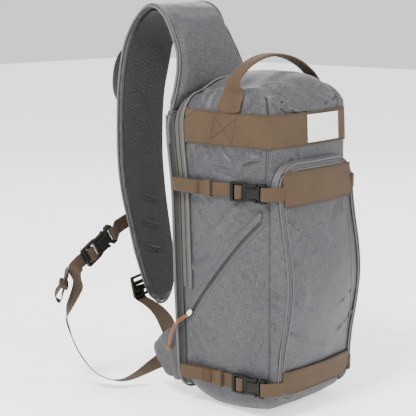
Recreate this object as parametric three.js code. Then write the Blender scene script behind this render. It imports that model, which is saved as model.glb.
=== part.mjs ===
// Sling pack: a one-strap day pack with a bellows pocket, webbing trim and a padded shoulder strap.
// Millimetres, +Z up. The pack's front looks along -Y and the wearer stands at +Y.
import * as THREE from 'three';
import { mergeVertices } from 'three/addons/utils/BufferGeometryUtils.js';

// Body sizes
const PACK_HEIGHT = 490; // floor of the body to the crown of its top
const PACK_DEPTH = 172; // front seams to the wearer's face, at the foot
const BACK_WIDTH = 208; // across the body at its rear rim
const FRONT_WIDTH = 190; // across the body at its front seams
const BACK_SWEEP = 25; // how far the back leans out towards the shoulders
const FRONT_LEAN = 9; // how far the front seams lean back at the top
const SHELL_WALL = 2;
const SIDE_BULGE = 6;
const FRONT_CROWN = 6;
const TOP_CROWN = 20;
const TOP_RADIUS = 44;
const FOOT_RADIUS = 32;
const SIDE_EDGE_RADIUS = 12; // round from a side panel to the front panel
const TOP_EDGE_RADIUS = 34;
const FOOT_EDGE_RADIUS = 20;
const FOLD_DEPTH = 3.2; // height of the deepest fold in the cloth

// Back panel and wing
const PANEL_THICKNESS = 17;
const PANEL_PROUD = 3; // how far the panel's edge stands past the body
const PANEL_TOP = 432; // height of the seam to the shoulder strap
const PANEL_PAD = 5;
const PIPING = 4.4;
const WING_REACH = 54;
const WING_HEIGHT = 86;
const WING_THICKNESS = 14;

// Front pocket
const POCKET_HEIGHT = 360;
const POCKET_WIDTH = 188;
const POCKET_FOOT = 8;
const POCKET_DEPTH = 25;
const POCKET_WALL = 1.6;
const POCKET_CROWN = 9;
const POCKET_INSET = 2.5; // how far the bellows leans in from its seam
const POCKET_RADIUS = 44;
const WELT_WIDTH = 9;
const WELT_THICKNESS = 1.4;

// Webbing and trim
const WIDE_WEBBING = 50;
const NARROW_WEBBING = 21;
const WEBBING = 1.5;
const BAND_HEIGHT = 387; // lower edge of the band round the top
const LABEL_WIDTH = 79;
const LABEL_HEIGHT = 41;
const LABEL_THICKNESS = 1;
const PANEL_WEBBING_WIDTH = 166;
const UPPER_PANEL_FOOT = 304;
const LOWER_PANEL_FOOT = 19;
const LOWER_PANEL_HEIGHT = 38;
const HANDLE_RISE = 80; // above the top edge of the band
const HANDLE_FOOT_WIDTH = 43;
const HANDLE_GRIP_WIDTH = 21;
const HANDLE_GRIP_THICKNESS = 4.5;
const MAIN_ZIP_WIDTH = 15;
const MAIN_ZIP_END = 166; // height at which the zip stops on each side
const SIDE_ZIP_WIDTH = 5;
const SIDE_WELT_WIDTH = 11;
const CORD = 2.5;

// Side-release buckles
const BUCKLE_LENGTH = 60;
const BUCKLE_WIDTH = 29;
const BUCKLE_THICKNESS = 8;
const STABILIZER_WEBBING = 25;
const STABILIZER_BUCKLE_SCALE = 1.16;

// Shoulder strap
const STRAP_WIDTH = 98;
const STRAP_THICKNESS = 12;
const STRAP_RISE = 157; // panel seam to the top of the loop
const STRAP_DROP = 488; // top of the loop to the strap's tip
const STRAP_REACH = 121; // panel to the front leg, across the wearer's shoulder
const LINING = 1.2;

// Clearances
const SEW_GAP = 0.4; // between pieces that are sewn face to face
const LAID_GAP = 0.8; // between a curved piece and the curved cloth it lies on

// Where the wearer's face of the panel stands at the foot
const BACK_PLANE = 79;

const HALF_TURN = Math.PI / 2;
const { lerp, clamp } = THREE.MathUtils;
const vector = (x, y, z) => new THREE.Vector3(x, y, z);

// A table is an array of rows with named columns.
function table(names, lines) {
  return lines.map((line) => Object.fromEntries(names.map((name, index) => [name, line[index]])));
}

// The height and depth columns are shares of PACK_HEIGHT and PACK_DEPTH.
const BACK_ROWS = table(['height', 'sweep'], [
  [-0.04, 0.0], [0.075, 0.04], [0.29, 0.28], [0.48, 0.42],
  [0.65, 0.56], [0.79, 0.92], [0.86, 1.0], [1.0, 1.06],
]);
const FRONT_ROWS = table(['height', 'lean'], [
  [-0.04, 0.25], [0.05, 0.0], [0.4, 0.0], [0.6, 0.2], [0.8, 0.6], [0.94, 1.0], [1.0, 1.4],
]);

// Upright sections through the body from its rear rim (wall 0) to its front edge (wall 1).
const SECTION_ROWS = table(['wall', 'foot', 'top', 'crown', 'topRadius', 'footRadius'], [
  [0.0, 0.004, 0.922, 0.7, 1.0, 1.0],
  [0.16, -0.026, 0.944, 0.9, 1.0, 0.95],
  [0.4, -0.034, 0.958, 1.0, 0.9, 0.85],
  [0.7, -0.03, 0.966, 1.0, 0.75, 0.75],
  [1.0, -0.018, 0.97, 0.85, 0.6, 0.75],
]);

// Folds in the cloth. Across runs from the rear rim (0) to the front seam (1) on a side, and from the
// left seam (-1) to the right one (1) on the front and top. Length and width are shares of
// PACK_HEIGHT, turn is the fold's slope in degrees, and lift is a share of FOLD_DEPTH.
const FOLD_ROWS = table(['face', 'across', 'height', 'length', 'width', 'turn', 'lift'], [
  ['side', 0.80, 0.77, 0.14, 0.035, 62, 0.5],
  ['side', 0.55, 0.765, 0.16, 0.04, 75, -0.55],
  ['side', 0.38, 0.755, 0.16, 0.035, 80, 0.55],
  ['side', 0.22, 0.76, 0.14, 0.035, 84, -0.5],
  ['side', 0.86, 0.56, 0.3, 0.06, -38, -0.6],
  ['side', 0.62, 0.6, 0.4, 0.07, -42, 0.5],
  ['side', 0.30, 0.40, 0.3, 0.08, 15, -0.4],
  ['side', 0.20, 0.10, 0.28, 0.07, 24, -0.8],
  ['side', 0.34, 0.14, 0.3, 0.07, 30, 0.8],
  ['side', 0.10, 0.02, 0.2, 0.05, 60, -0.8],
  ['side', 0.72, 0.93, 0.2, 0.06, 35, -0.8],
  ['side', 0.92, 0.95, 0.1, 0.04, 85, -1.0],
  ['front', -0.62, 0.925, 0.16, 0.05, 55, 0.9],
  ['front', -0.40, 0.935, 0.2, 0.05, 25, -0.8],
  ['front', -0.2, 0.915, 0.24, 0.05, 12, 0.7],
  ['front', 0.15, 0.925, 0.22, 0.05, -8, -0.6],
  ['front', 0.5, 0.92, 0.2, 0.05, -24, 0.7],
  ['front', 0.72, 0.935, 0.14, 0.05, -55, -0.8],
  ['top', -0.35, 0.35, 0.3, 0.09, 30, -0.7],
  ['top', 0.3, 0.45, 0.3, 0.09, -20, 0.6],
]);

// Smooth reading of every column of a table at one value of its key column.
function read(rows, key, at) {
  const last = rows.length - 1;
  const value = clamp(at, rows[0][key], rows[last][key]);
  let index = 0;
  while (index < last - 1 && value > rows[index + 1][key]) index += 1;
  const low = rows[index];
  const high = rows[index + 1];
  const before = rows[Math.max(index - 1, 0)];
  const after = rows[Math.min(index + 2, last)];
  const span = high[key] - low[key];
  const t = (value - low[key]) / span;
  const result = {};
  for (const name of Object.keys(low)) {
    const startSlope = (high[name] - before[name]) / (high[key] - before[key]) * span;
    const endSlope = (after[name] - low[name]) / (after[key] - low[key]) * span;
    const rise = high[name] - low[name];
    const bend = (startSlope + endSlope - 2 * rise) * t;
    result[name] = low[name] + t * (startSlope + t * (3 * rise - 2 * startSlope - endSlope + bend));
  }
  return result;
}

// Shapes of the body

function backLine(z) {
  return BACK_PLANE + BACK_SWEEP * read(BACK_ROWS, 'height', z / PACK_HEIGHT).sweep;
}

function rimLine(z) {
  return backLine(z) - PANEL_THICKNESS - LAID_GAP;
}

function frontFace(x, z) {
  const lean = read(FRONT_ROWS, 'height', z / PACK_HEIGHT).lean;
  const out = 1 - (2 * x / FRONT_WIDTH) ** 2;
  return BACK_PLANE - PACK_DEPTH + FRONT_LEAN * lean - FRONT_CROWN * Math.max(out, 0);
}

function sectionAt(wall) {
  const row = read(SECTION_ROWS, 'wall', wall);
  return {
    half: lerp(BACK_WIDTH, FRONT_WIDTH, wall) / 2,
    foot: row.foot * PACK_HEIGHT,
    top: row.top * PACK_HEIGHT,
    crown: row.crown * TOP_CROWN,
    topRadius: row.topRadius * TOP_RADIUS,
    footRadius: row.footRadius * FOOT_RADIUS,
  };
}

// Stops of the half outline: bottom run, foot round, side run, shoulder round and top run.
const FOOT_STOP = 0.12;
const SIDE_STOP = 0.22;
const SHOULDER_STOP = 0.72;
const TOP_STOP = 0.86;

// The right half of a rounded outline from the middle of its foot (p 0) to the middle of its top (p 1).
function outlineAt(shape, p) {
  const { half, foot, top, crown, topRadius, footRadius } = shape;
  if (p <= FOOT_STOP) return { x: (half - footRadius) * p / FOOT_STOP, z: foot, nx: 0, nz: -1 };
  if (p <= SIDE_STOP) {
    const angle = HALF_TURN * (p - FOOT_STOP) / (SIDE_STOP - FOOT_STOP);
    const nx = Math.sin(angle);
    const nz = -Math.cos(angle);
    return { x: half - footRadius * (1 - nx), z: foot + footRadius * (1 + nz), nx, nz };
  }
  if (p <= SHOULDER_STOP) {
    const share = (p - SIDE_STOP) / (SHOULDER_STOP - SIDE_STOP);
    return { x: half, z: lerp(foot + footRadius, top - topRadius, share), nx: 1, nz: 0 };
  }
  if (p <= TOP_STOP) {
    const angle = HALF_TURN * (p - SHOULDER_STOP) / (TOP_STOP - SHOULDER_STOP);
    const nx = Math.cos(angle);
    const nz = Math.sin(angle);
    return { x: half - topRadius * (1 - nx), z: top - topRadius * (1 - nz), nx, nz };
  }
  const share = (1 - p) / (1 - TOP_STOP);
  return { x: (half - topRadius) * share, z: top + crown * (1 - share ** 2), nx: 0, nz: 1 };
}

// The stop on an outline's side or shoulder at which it reaches a height.
function stopAt(shape, z) {
  const low = shape.foot + shape.footRadius;
  const high = shape.top - shape.topRadius;
  if (z <= high) return lerp(SIDE_STOP, SHOULDER_STOP, Math.max(z - low, 0) / (high - low));
  const angle = Math.asin(Math.min((z - high) / shape.topRadius, 1));
  return lerp(SHOULDER_STOP, TOP_STOP, angle / HALF_TURN);
}

// Height of the folds at a place on the cloth.
function foldAt(face, across, height) {
  let lift = 0;
  for (const row of FOLD_ROWS) {
    if (row.face !== face) continue;
    const angle = THREE.MathUtils.degToRad(row.turn);
    const scale = face === 'front' ? FRONT_WIDTH / 2 / PACK_HEIGHT : PACK_DEPTH / PACK_HEIGHT;
    const du = (across - row.across) * scale;
    const dv = height - row.height;
    const lengthwise = (du * Math.cos(angle) + dv * Math.sin(angle)) / row.length;
    const crosswise = (dv * Math.cos(angle) - du * Math.sin(angle)) / row.width;
    lift += row.lift * Math.exp(-4 * lengthwise ** 2 - crosswise ** 2);
  }
  return FOLD_DEPTH * lift;
}

const MEDIAL_LOW = 0.12; // the front's middle line, as shares of PACK_HEIGHT
const MEDIAL_HIGH = 0.89;

// A place on the body's cloth. The ring runs over the walls (0 to 1) from the rear rim, round the front
// edge (1 to 2) and over the front panel (2 to 3) to its middle line. Lift is measured outwards.
function bodyPoint(side, p, ring, lift = 0) {
  const wall = clamp(ring, 0, 1);
  const turn = clamp(ring - 1, 0, 1) * HALF_TURN;
  const inward = clamp(ring - 2, 0, 1);
  const spot = outlineAt(sectionAt(wall), p);
  const endRadius = spot.nz > 0 ? TOP_EDGE_RADIUS : FOOT_EDGE_RADIUS;
  const radius = lerp(SIDE_EDGE_RADIUS, endRadius, spot.nz ** 2);
  const inset = radius * (1 - Math.cos(turn));
  let x = spot.x - spot.nx * inset;
  let z = spot.z - spot.nz * inset;
  x *= 1 - inward;
  z = lerp(z, clamp(z, MEDIAL_LOW * PACK_HEIGHT, MEDIAL_HIGH * PACK_HEIGHT), inward);
  const front = frontFace(x, z);
  const y = ring <= 1 ? lerp(rimLine(z), front + radius, wall) : front + radius * (1 - Math.sin(turn));
  const height = z / PACK_HEIGHT;
  const belly = SIDE_BULGE * Math.sin(Math.PI * wall) * Math.sin(Math.PI * clamp(height, 0, 1));
  const calm = Math.sin(Math.PI * Math.min(wall * 4, 0.5)) * Math.cos(turn);
  const sideFold = foldAt('side', wall, height) * spot.nx ** 2;
  const topFold = foldAt('top', side * x * 2 / FRONT_WIDTH, wall) * Math.max(spot.nz, 0) ** 2;
  const frontFold = foldAt('front', side * x * 2 / FRONT_WIDTH, height) * Math.sin(turn);
  const push = lift + belly * spot.nx ** 2 + calm * (sideFold + topFold) + frontFold;
  return vector(
    side * (x + push * spot.nx * Math.cos(turn)),
    y - push * Math.sin(turn),
    z + push * spot.nz * Math.cos(turn),
  );
}

// The same place named by its height, for pieces that run round the body.
function hoopPoint(side, ring, z, lift) {
  return bodyPoint(side, stopAt(sectionAt(clamp(ring, 0, 1)), z), ring, lift);
}

// The wall share at a depth on a side panel.
function wallAt(y, z) {
  return (rimLine(z) - y) / (rimLine(z) - frontFace(FRONT_WIDTH / 2, z) - SIDE_EDGE_RADIUS);
}

function sidePoint(side, y, z, lift) {
  const wall = wallAt(y, z);
  const point = hoopPoint(side, clamp(wall, 0, 1), z, lift);
  return vector(point.x, wall > 1 || wall < 0 ? y : point.y, point.z);
}

// Closed solids

function solidGeometry(triangles) {
  const positions = triangles.flat().flatMap((point) => [point.x, point.y, point.z]);
  const loose = new THREE.BufferGeometry();
  loose.setAttribute('position', new THREE.Float32BufferAttribute(positions, 3));
  return tidyGeometry(loose);
}

// Merged vertices, no collapsed faces, and every face looking out.
function tidyGeometry(loose) {
  loose.deleteAttribute('normal');
  loose.deleteAttribute('uv');
  const merged = mergeVertices(loose, 1e-3);
  const place = merged.attributes.position;
  const index = merged.index ? Array.from(merged.index.array) : [];
  const kept = [];
  let volume = 0;
  const corner = (i) => vector(place.getX(i), place.getY(i), place.getZ(i));
  for (let i = 0; i < index.length; i += 3) {
    const [a, b, c] = index.slice(i, i + 3);
    if (a === b || b === c || c === a) continue;
    kept.push([a, b, c]);
    volume += corner(a).dot(corner(b).cross(corner(c)));
  }
  const faces = volume < 0 ? kept.map(([a, b, c]) => [a, c, b]) : kept;
  merged.setIndex(faces.flat());
  merged.computeVertexNormals();
  return merged;
}

// A wall between two grids of points. A wrapped grid closes on itself and its last row is its middle.
function layered(outer, inner, wraps = false) {
  const triangles = [];
  const quad = (a, b, c, d) => triangles.push([a, b, c], [a, c, d]);
  const last = outer.length - 1;
  const columns = outer[0].length;
  const runs = wraps ? columns : columns - 1;
  for (let column = 0; column < runs; column += 1) {
    const next = (column + 1) % columns;
    for (let row = 0; row < last; row += 1) {
      quad(outer[row][column], outer[row][next], outer[row + 1][next], outer[row + 1][column]);
      quad(inner[row + 1][column], inner[row + 1][next], inner[row][next], inner[row][column]);
    }
    quad(inner[0][column], inner[0][next], outer[0][next], outer[0][column]);
    if (!wraps) quad(outer[last][column], outer[last][next], inner[last][next], inner[last][column]);
  }
  if (!wraps) {
    for (let row = 0; row < last; row += 1) {
      quad(outer[row][0], outer[row + 1][0], inner[row + 1][0], inner[row][0]);
      quad(inner[row][runs], inner[row + 1][runs], outer[row + 1][runs], outer[row][runs]);
    }
  }
  return solidGeometry(triangles);
}

// A sheet whose two faces are read from one function of row, column and lift.
function sheet(rowStops, columnStops, thickness, place) {
  const face = (lift) => rowStops.map((row) => columnStops.map((column) => place(row, column, lift)));
  return layered(face(thickness), face(0));
}

function steps(from, to, count) {
  return Array.from({ length: count + 1 }, (_, index) => lerp(from, to, index / count));
}

// Stops of a whole outline: up the right half and down the left one.
function loopStops(halfStops) {
  const right = halfStops.map((p) => ({ side: 1, p }));
  const left = halfStops.slice(1, -1).reverse().map((p) => ({ side: -1, p }));
  return [...right, ...left];
}

const BODY_STOPS = [
  ...steps(0, FOOT_STOP, 2), ...steps(FOOT_STOP, SIDE_STOP, 3).slice(1),
  ...steps(SIDE_STOP, SHOULDER_STOP, 13).slice(1), ...steps(SHOULDER_STOP, TOP_STOP, 4).slice(1),
  ...steps(TOP_STOP, 1, 3).slice(1),
];

// A round tube with a ring of corners at each of its points.
function tube(points, diameter, sides) {
  const last = points.length - 1;
  let normal = vector(0, 1, 0);
  const rings = points.map((point, index) => {
    const after = points[Math.min(index + 1, last)];
    const tangent = after.clone().sub(points[Math.max(index - 1, 0)]).normalize();
    normal = normal.clone().addScaledVector(tangent, -normal.dot(tangent)).normalize();
    const side = tangent.clone().cross(normal);
    return steps(0, 2 * Math.PI, sides).slice(0, -1).map((angle) => point.clone()
      .addScaledVector(normal, Math.cos(angle) * diameter / 2)
      .addScaledVector(side, Math.sin(angle) * diameter / 2));
  });
  const triangles = [];
  for (let corner = 0; corner < sides; corner += 1) {
    const next = (corner + 1) % sides;
    for (let ring = 0; ring < last; ring += 1) {
      triangles.push([rings[ring][corner], rings[ring][next], rings[ring + 1][next]]);
      triangles.push([rings[ring][corner], rings[ring + 1][next], rings[ring + 1][corner]]);
    }
    triangles.push([points[0], rings[0][next], rings[0][corner]]);
    triangles.push([points[last], rings[last][corner], rings[last][next]]);
  }
  return solidGeometry(triangles);
}

// A round bar along a smooth curve.
function bar(points, diameter, sides, count, closed = false) {
  const path = new THREE.CatmullRomCurve3(points, closed, 'centripetal');
  const corners = steps(0, 2 * Math.PI, sides).slice(0, -1);
  const section = new THREE.Shape(corners.map((angle) => new THREE.Vector2(
    Math.cos(angle) * diameter / 2,
    Math.sin(angle) * diameter / 2,
  )));
  return tidyGeometry(new THREE.ExtrudeGeometry(section, { steps: count, extrudePath: path }));
}

// A flat or padded band along a curve. Each station has a place, a direction across and a half width.
function band(stations, thickness, columns = [-1, 1], profile = () => 1) {
  const count = stations.length;
  const frames = stations.map((station, index) => {
    const before = stations[Math.max(index - 1, 0)].place;
    const after = stations[Math.min(index + 1, count - 1)].place;
    const tangent = station.along ?? after.clone().sub(before).normalize();
    const across = station.skewed ? station.across.clone().normalize()
      : station.across.clone().addScaledVector(tangent, -station.across.dot(tangent)).normalize();
    const out = across.clone().cross(tangent).normalize();
    return { ...station, across, out };
  });
  const face = (sign) => frames.map((frame) => columns.map((share) => frame.place.clone()
    .addScaledVector(frame.across, share * frame.half)
    .addScaledVector(frame.out, sign * (frame.thick ?? thickness) / 2 * profile(share))));
  return layered(face(1), face(-1));
}

// Evenly spaced stations on a smooth curve through hand-set places.
function stationsOn(knots, count, half) {
  const path = new THREE.CatmullRomCurve3(knots.map((knot) => knot.place), false, 'centripetal');
  return steps(0, 1, count).map((t) => {
    const reach = t * (knots.length - 1);
    const index = Math.min(Math.floor(reach), knots.length - 2);
    const share = reach - index;
    const across = knots[index].across.clone().lerp(knots[index + 1].across, share);
    return { place: path.getPoint(t), across, half };
  });
}

// Finishes

const FINISHES = {
  cloth: { color: 0x7d7e80, roughness: 0.85, metalness: 0 },
  mesh: { color: 0x2e2d30, roughness: 0.95, metalness: 0 },
  webbing: { color: 0x8c6e55, roughness: 0.8, metalness: 0 },
  piping: { color: 0x8b8a85, roughness: 0.7, metalness: 0 },
  zip: { color: 0x77766a, roughness: 0.7, metalness: 0 },
  plastic: { color: 0x33352d, roughness: 0.45, metalness: 0 },
  label: { color: 0xe9e9e6, roughness: 0.8, metalness: 0 },
  metal: { color: 0xb9b9b4, roughness: 0.3, metalness: 1 },
  cord: { color: 0xb8741f, roughness: 0.7, metalness: 0 },
};

const pack = new THREE.Group();

function add(name, finish, geometry) {
  const mesh = new THREE.Mesh(geometry, new THREE.MeshStandardMaterial(FINISHES[finish]));
  mesh.name = name;
  pack.add(mesh);
  return mesh;
}

// Body shell: a cloth tub, open at the back

const EDGE_RINGS = [1, 1.4, 1.7, 2];
const FACE_RINGS = [2.35, 2.7, 3];

function makeBodyShell() {
  const rings = [0, 0.1, 0.28, 0.48, 0.68, 0.87, ...EDGE_RINGS, ...FACE_RINGS];
  const loop = loopStops(BODY_STOPS);
  const layer = (lift) => rings.map((ring) => loop.map(({ side, p }) => bodyPoint(side, p, ring, lift)));
  add('body_shell', 'cloth', layered(layer(0), layer(-SHELL_WALL), true));
}

// Back panel: foam between cloth and spacer mesh, with a piped edge

function panelOutline(grow) {
  const section = sectionAt(0);
  return {
    half: section.half + PANEL_PROUD + grow,
    foot: section.foot - PANEL_PROUD - grow,
    top: PANEL_TOP - SEW_GAP + grow,
    crown: 0,
    topRadius: PIPING,
    footRadius: section.footRadius + PANEL_PROUD + grow,
  };
}

function makeBackPanel() {
  const shares = [1, 0.985, 0.85, 0.45, 0];
  const low = PACK_HEIGHT * MEDIAL_LOW;
  const high = PANEL_TOP - PACK_HEIGHT * MEDIAL_LOW;
  const loop = loopStops([
    ...steps(0, FOOT_STOP, 1), ...steps(FOOT_STOP, SIDE_STOP, 4).slice(1),
    ...steps(SIDE_STOP, SHOULDER_STOP, 9).slice(1), ...steps(SHOULDER_STOP, TOP_STOP, 1).slice(1),
    ...steps(TOP_STOP, 1, 2).slice(1),
  ]);
  const face = (wearer) => shares.map((share) => loop.map(({ side, p }) => {
    const spot = outlineAt(panelOutline(0), p);
    const z = lerp(clamp(spot.z, low, high), spot.z, share);
    const pad = PANEL_PAD * (1 - share ** 4);
    const round = share === 1 ? PIPING / 2 : 0;
    const y = wearer ? backLine(z) + pad - PIPING / 2 - round : rimLine(z) + LAID_GAP + round;
    return vector(side * spot.x * share, y, z);
  }));
  add('back_panel', 'mesh', layered(face(true), face(false), true));
}

// The piping runs down one edge of the panel, under its foot and up the other edge.
function makeBackPiping() {
  const grow = PIPING / 2 + SEW_GAP * 1.2;
  const shape = panelOutline(grow);
  const half = [...steps(0, FOOT_STOP, 1), ...steps(FOOT_STOP, SIDE_STOP, 4).slice(1),
    ...steps(SIDE_STOP, SHOULDER_STOP, 9).slice(1, -1), stopAt(shape, PANEL_TOP - PIPING)];
  const at = (side) => (p) => {
    const spot = outlineAt(shape, p);
    return vector(side * spot.x, backLine(spot.z) - PIPING, spot.z);
  };
  const points = [...half.slice(1).reverse().map(at(-1)), ...half.map(at(1))];
  add('back_piping', 'piping', tube(points, PIPING, 6));
}

// Main zip: an arch of tape along the rear rim, with a piped flap edge in front of it

function archRing(width, z) {
  return width / (rimLine(z) - frontFace(FRONT_WIDTH / 2, z) - SIDE_EDGE_RADIUS);
}

function archStops() {
  const low = stopAt(sectionAt(0), MAIN_ZIP_END);
  const half = [...steps(low, SHOULDER_STOP, 7), ...steps(SHOULDER_STOP, TOP_STOP, 4).slice(1),
    ...steps(TOP_STOP, 1, 3).slice(1)];
  const right = half.map((p) => ({ side: 1, p }));
  const left = half.slice(0, -1).map((p) => ({ side: -1, p }));
  return [...left, ...right.reverse()];
}

function archPoint(stop, depth, lift) {
  const z = outlineAt(sectionAt(0), stop.p).z;
  return bodyPoint(stop.side, stop.p, archRing(depth, z), lift);
}

function makeMainZip() {
  add('main_zip', 'zip', sheet(archStops(), [SEW_GAP, MAIN_ZIP_WIDTH], WEBBING, (stop, depth, lift) => (
    archPoint(stop, depth, LAID_GAP + lift)
  )));
  const pipe = PIPING * 0.75;
  const run = MAIN_ZIP_WIDTH + SEW_GAP + pipe / 2;
  const points = archStops().map((stop) => archPoint(stop, run, LAID_GAP * 1.5 + pipe / 2));
  add('flap_piping', 'piping', tube(points, pipe, 6));
}

// Band of wide webbing round the top of the body

function hoopStops(startRing) {
  const half = [...steps(startRing, 1, 7).slice(0, -1), ...EDGE_RINGS, ...FACE_RINGS];
  const left = half.map((ring) => ({ side: -1, ring }));
  const right = half.slice(0, -1).map((ring) => ({ side: 1, ring })).reverse();
  return [...left, ...right];
}

const BAND_SEAT = LAID_GAP * 1.5;

function makeTopBand() {
  const pipe = PIPING * 0.75;
  const start = archRing(MAIN_ZIP_WIDTH + pipe + 3 * SEW_GAP, BAND_HEIGHT);
  const heights = steps(BAND_HEIGHT, BAND_HEIGHT + WIDE_WEBBING, 3);
  add('top_band', 'webbing', sheet(hoopStops(start), heights, WEBBING, (stop, z, lift) => (
    hoopPoint(stop.side, stop.ring, z, BAND_SEAT + lift)
  )));
}

const LABEL_LEFT = -15; // the label's left edge, from the pack's middle

function makeLabel() {
  const foot = BAND_HEIGHT + (WIDE_WEBBING - LABEL_HEIGHT) / 2;
  const seat = BAND_SEAT + WEBBING + LAID_GAP;
  add('label_patch', 'label', sheet(
    steps(LABEL_LEFT, LABEL_LEFT + LABEL_WIDTH, 5),
    steps(foot, foot + LABEL_HEIGHT, 2),
    LABEL_THICKNESS,
    (x, z, lift) => vector(x, frontFace(x, z) - seat - lift, z),
  ));
}

// Front pocket: a bellows pocket with an arched top

const POCKET_ROWS = table(['height', 'depth'], [
  [0.0, 0.28], [0.1, 0.34], [0.23, 0.5], [0.37, 0.83], [0.5, 1.0], [0.62, 0.86], [0.76, 0.54], [0.88, 0.38],
  [1.0, 0.3],
]);

function pocketDepth(z) {
  return POCKET_DEPTH * read(POCKET_ROWS, 'height', (z - POCKET_FOOT) / POCKET_HEIGHT).depth;
}

function pocketFace(x, z) {
  const across = clamp(2 * x / POCKET_WIDTH, -1, 1);
  const up = clamp((z - POCKET_FOOT) / POCKET_HEIGHT, 0, 1);
  const crown = POCKET_CROWN * (1 - across ** 2) * Math.sin(Math.PI * up);
  return frontFace(x, z) - pocketDepth(z) - crown;
}

function pocketOutline(inset) {
  return {
    half: POCKET_WIDTH / 2 - inset,
    foot: POCKET_FOOT + inset,
    top: POCKET_FOOT + POCKET_HEIGHT - inset,
    crown: 0,
    topRadius: POCKET_RADIUS - inset,
    footRadius: POCKET_RADIUS * 0.7 - inset,
  };
}

// The ring runs up the bellows (0 to 1) and over the pocket's face (1 to 2) to its middle line.
function pocketPoint(side, p, ring, lift) {
  const rise = clamp(ring, 0, 1);
  const inward = clamp(ring - 1, 0, 1);
  const spot = outlineAt(pocketOutline(POCKET_INSET * rise), p);
  const low = POCKET_FOOT + POCKET_RADIUS;
  const high = POCKET_FOOT + POCKET_HEIGHT - POCKET_RADIUS;
  const upright = 1 - Math.min(ring * 4, 1) * 0.2;
  const sideways = ring < 1 ? lift * upright : lift * 0.5 * (1 - Math.min(inward * 8, 1));
  const x = (spot.x + spot.nx * sideways) * (1 - inward);
  const z = lerp(spot.z + spot.nz * sideways, clamp(spot.z, low, high), inward);
  const cloth = frontFace(x, z) - frontFoldAt(x, z);
  const y = rise < 1 ? lerp(cloth - LAID_GAP, pocketFace(x, z), rise) : pocketFace(x, z) - lift;
  return vector(side * x, y, z);
}

// Folds stand a little proud of the front panel, so the pocket's seam is set out by the same amount.
function frontFoldAt(x, z) {
  return Math.max(foldAt('front', x * 2 / FRONT_WIDTH, z / PACK_HEIGHT), 0);
}

const POCKET_STOPS = loopStops([
  ...steps(0, FOOT_STOP, 3), ...steps(FOOT_STOP, SIDE_STOP, 4).slice(1),
  ...steps(SIDE_STOP, SHOULDER_STOP, 10).slice(1), ...steps(SHOULDER_STOP, TOP_STOP, 4).slice(1),
  ...steps(TOP_STOP, 1, 3).slice(1),
]);

function makePocket() {
  const rings = [0, 0.5, 1, 1.12, 1.5, 2];
  const layer = (lift) => rings.map((ring) => (
    POCKET_STOPS.map(({ side, p }) => pocketPoint(side, p, ring, lift))
  ));
  add('front_pocket', 'cloth', layered(layer(POCKET_WALL / 2), layer(-POCKET_WALL / 2), true));
  const half = [...steps(FOOT_STOP, SIDE_STOP, 4), ...steps(SIDE_STOP, SHOULDER_STOP, 10).slice(1),
    ...steps(SHOULDER_STOP, TOP_STOP, 4).slice(1), ...steps(TOP_STOP, 1, 3).slice(1)];
  const left = half.map((p) => ({ side: -1, p }));
  const right = half.slice(0, -1).map((p) => ({ side: 1, p })).reverse();
  const seat = POCKET_WALL / 2 + LAID_GAP;
  add('pocket_welt', 'cloth', sheet([...left, ...right], [0, 1], WELT_THICKNESS, (stop, share, lift) => {
    const spot = outlineAt(pocketOutline(POCKET_INSET + 1 + share * WELT_WIDTH), stop.p);
    return vector(stop.side * spot.x, pocketFace(spot.x, spot.z) - seat - lift, spot.z);
  }));
}

// Wide webbing panels across the pocket

function makePocketPanel(name, foot, height, cornerCut) {
  const half = PANEL_WEBBING_WIDTH / 2;
  const seat = POCKET_WALL / 2 + LAID_GAP + WELT_THICKNESS + LAID_GAP;
  const columns = steps(-1, 1, 8);
  add(name, 'webbing', sheet(columns, steps(0, 1, 3), WEBBING, (across, up, lift) => {
    const low = foot + cornerCut * Math.max(Math.abs(across) * 4 - 3, 0) ** 2;
    const x = across * half;
    const z = lerp(low, foot + height, up);
    return vector(x, pocketFace(x, z) - seat - lift, z);
  }));
}

// Haul handle: webbing from side to side, folded to a narrow grip over the top.
// Along is a share of BACK_WIDTH from the middle, rise a share of HANDLE_RISE above the band.
const HANDLE_ROWS = table(['along', 'rise', 'grip'], [
  [-1, 0.0, 0], [-1, 0.16, 0], [-1, 0.33, 0.15], [-0.9, 0.55, 0.95], [-0.66, 0.8, 1], [-0.38, 0.95, 1],
  [-0.06, 1.0, 1], [0.3, 0.93, 1], [0.62, 0.76, 1], [0.88, 0.5, 0.95],
  [1, 0.3, 0.15], [1, 0.14, 0], [1, 0.0, 0],
]);
const HANDLE_Y = -16;
const HANDLE_SKEW = 12; // how far the right foot stands ahead of the left one

function makeHandle() {
  const foot = BAND_HEIGHT + WIDE_WEBBING + SEW_GAP;
  const thickness = (grip) => lerp(WEBBING, HANDLE_GRIP_THICKNESS, grip);
  const seat = LAID_GAP * 3 + WEBBING / 2;
  const edge = sidePoint(1, HANDLE_Y, foot, seat).x;
  const knots = HANDLE_ROWS.map(({ along, rise, grip }) => {
    const z = foot + rise * HANDLE_RISE;
    const lean = Math.abs(along) < 1 ? along * edge : Math.sign(along) * sidePoint(1, HANDLE_Y, z, seat).x;
    return { place: vector(lean, HANDLE_Y - HANDLE_SKEW * (1 + along) / 2, z), grip };
  });
  const path = new THREE.CatmullRomCurve3(knots.map((knot) => knot.place), false, 'centripetal');
  const stations = steps(0, 1, 24).map((t) => {
    const reach = t * (knots.length - 1);
    const index = Math.min(Math.floor(reach), knots.length - 2);
    const grip = lerp(knots[index].grip, knots[index + 1].grip, reach - index);
    const half = lerp(HANDLE_FOOT_WIDTH, HANDLE_GRIP_WIDTH, grip) / 2;
    return { place: path.getPoint(t), across: vector(0, 1, 0), half, thick: thickness(grip) };
  });
  add('haul_handle', 'webbing', band(stations, WEBBING, [-1, 0, 1]));
}

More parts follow.
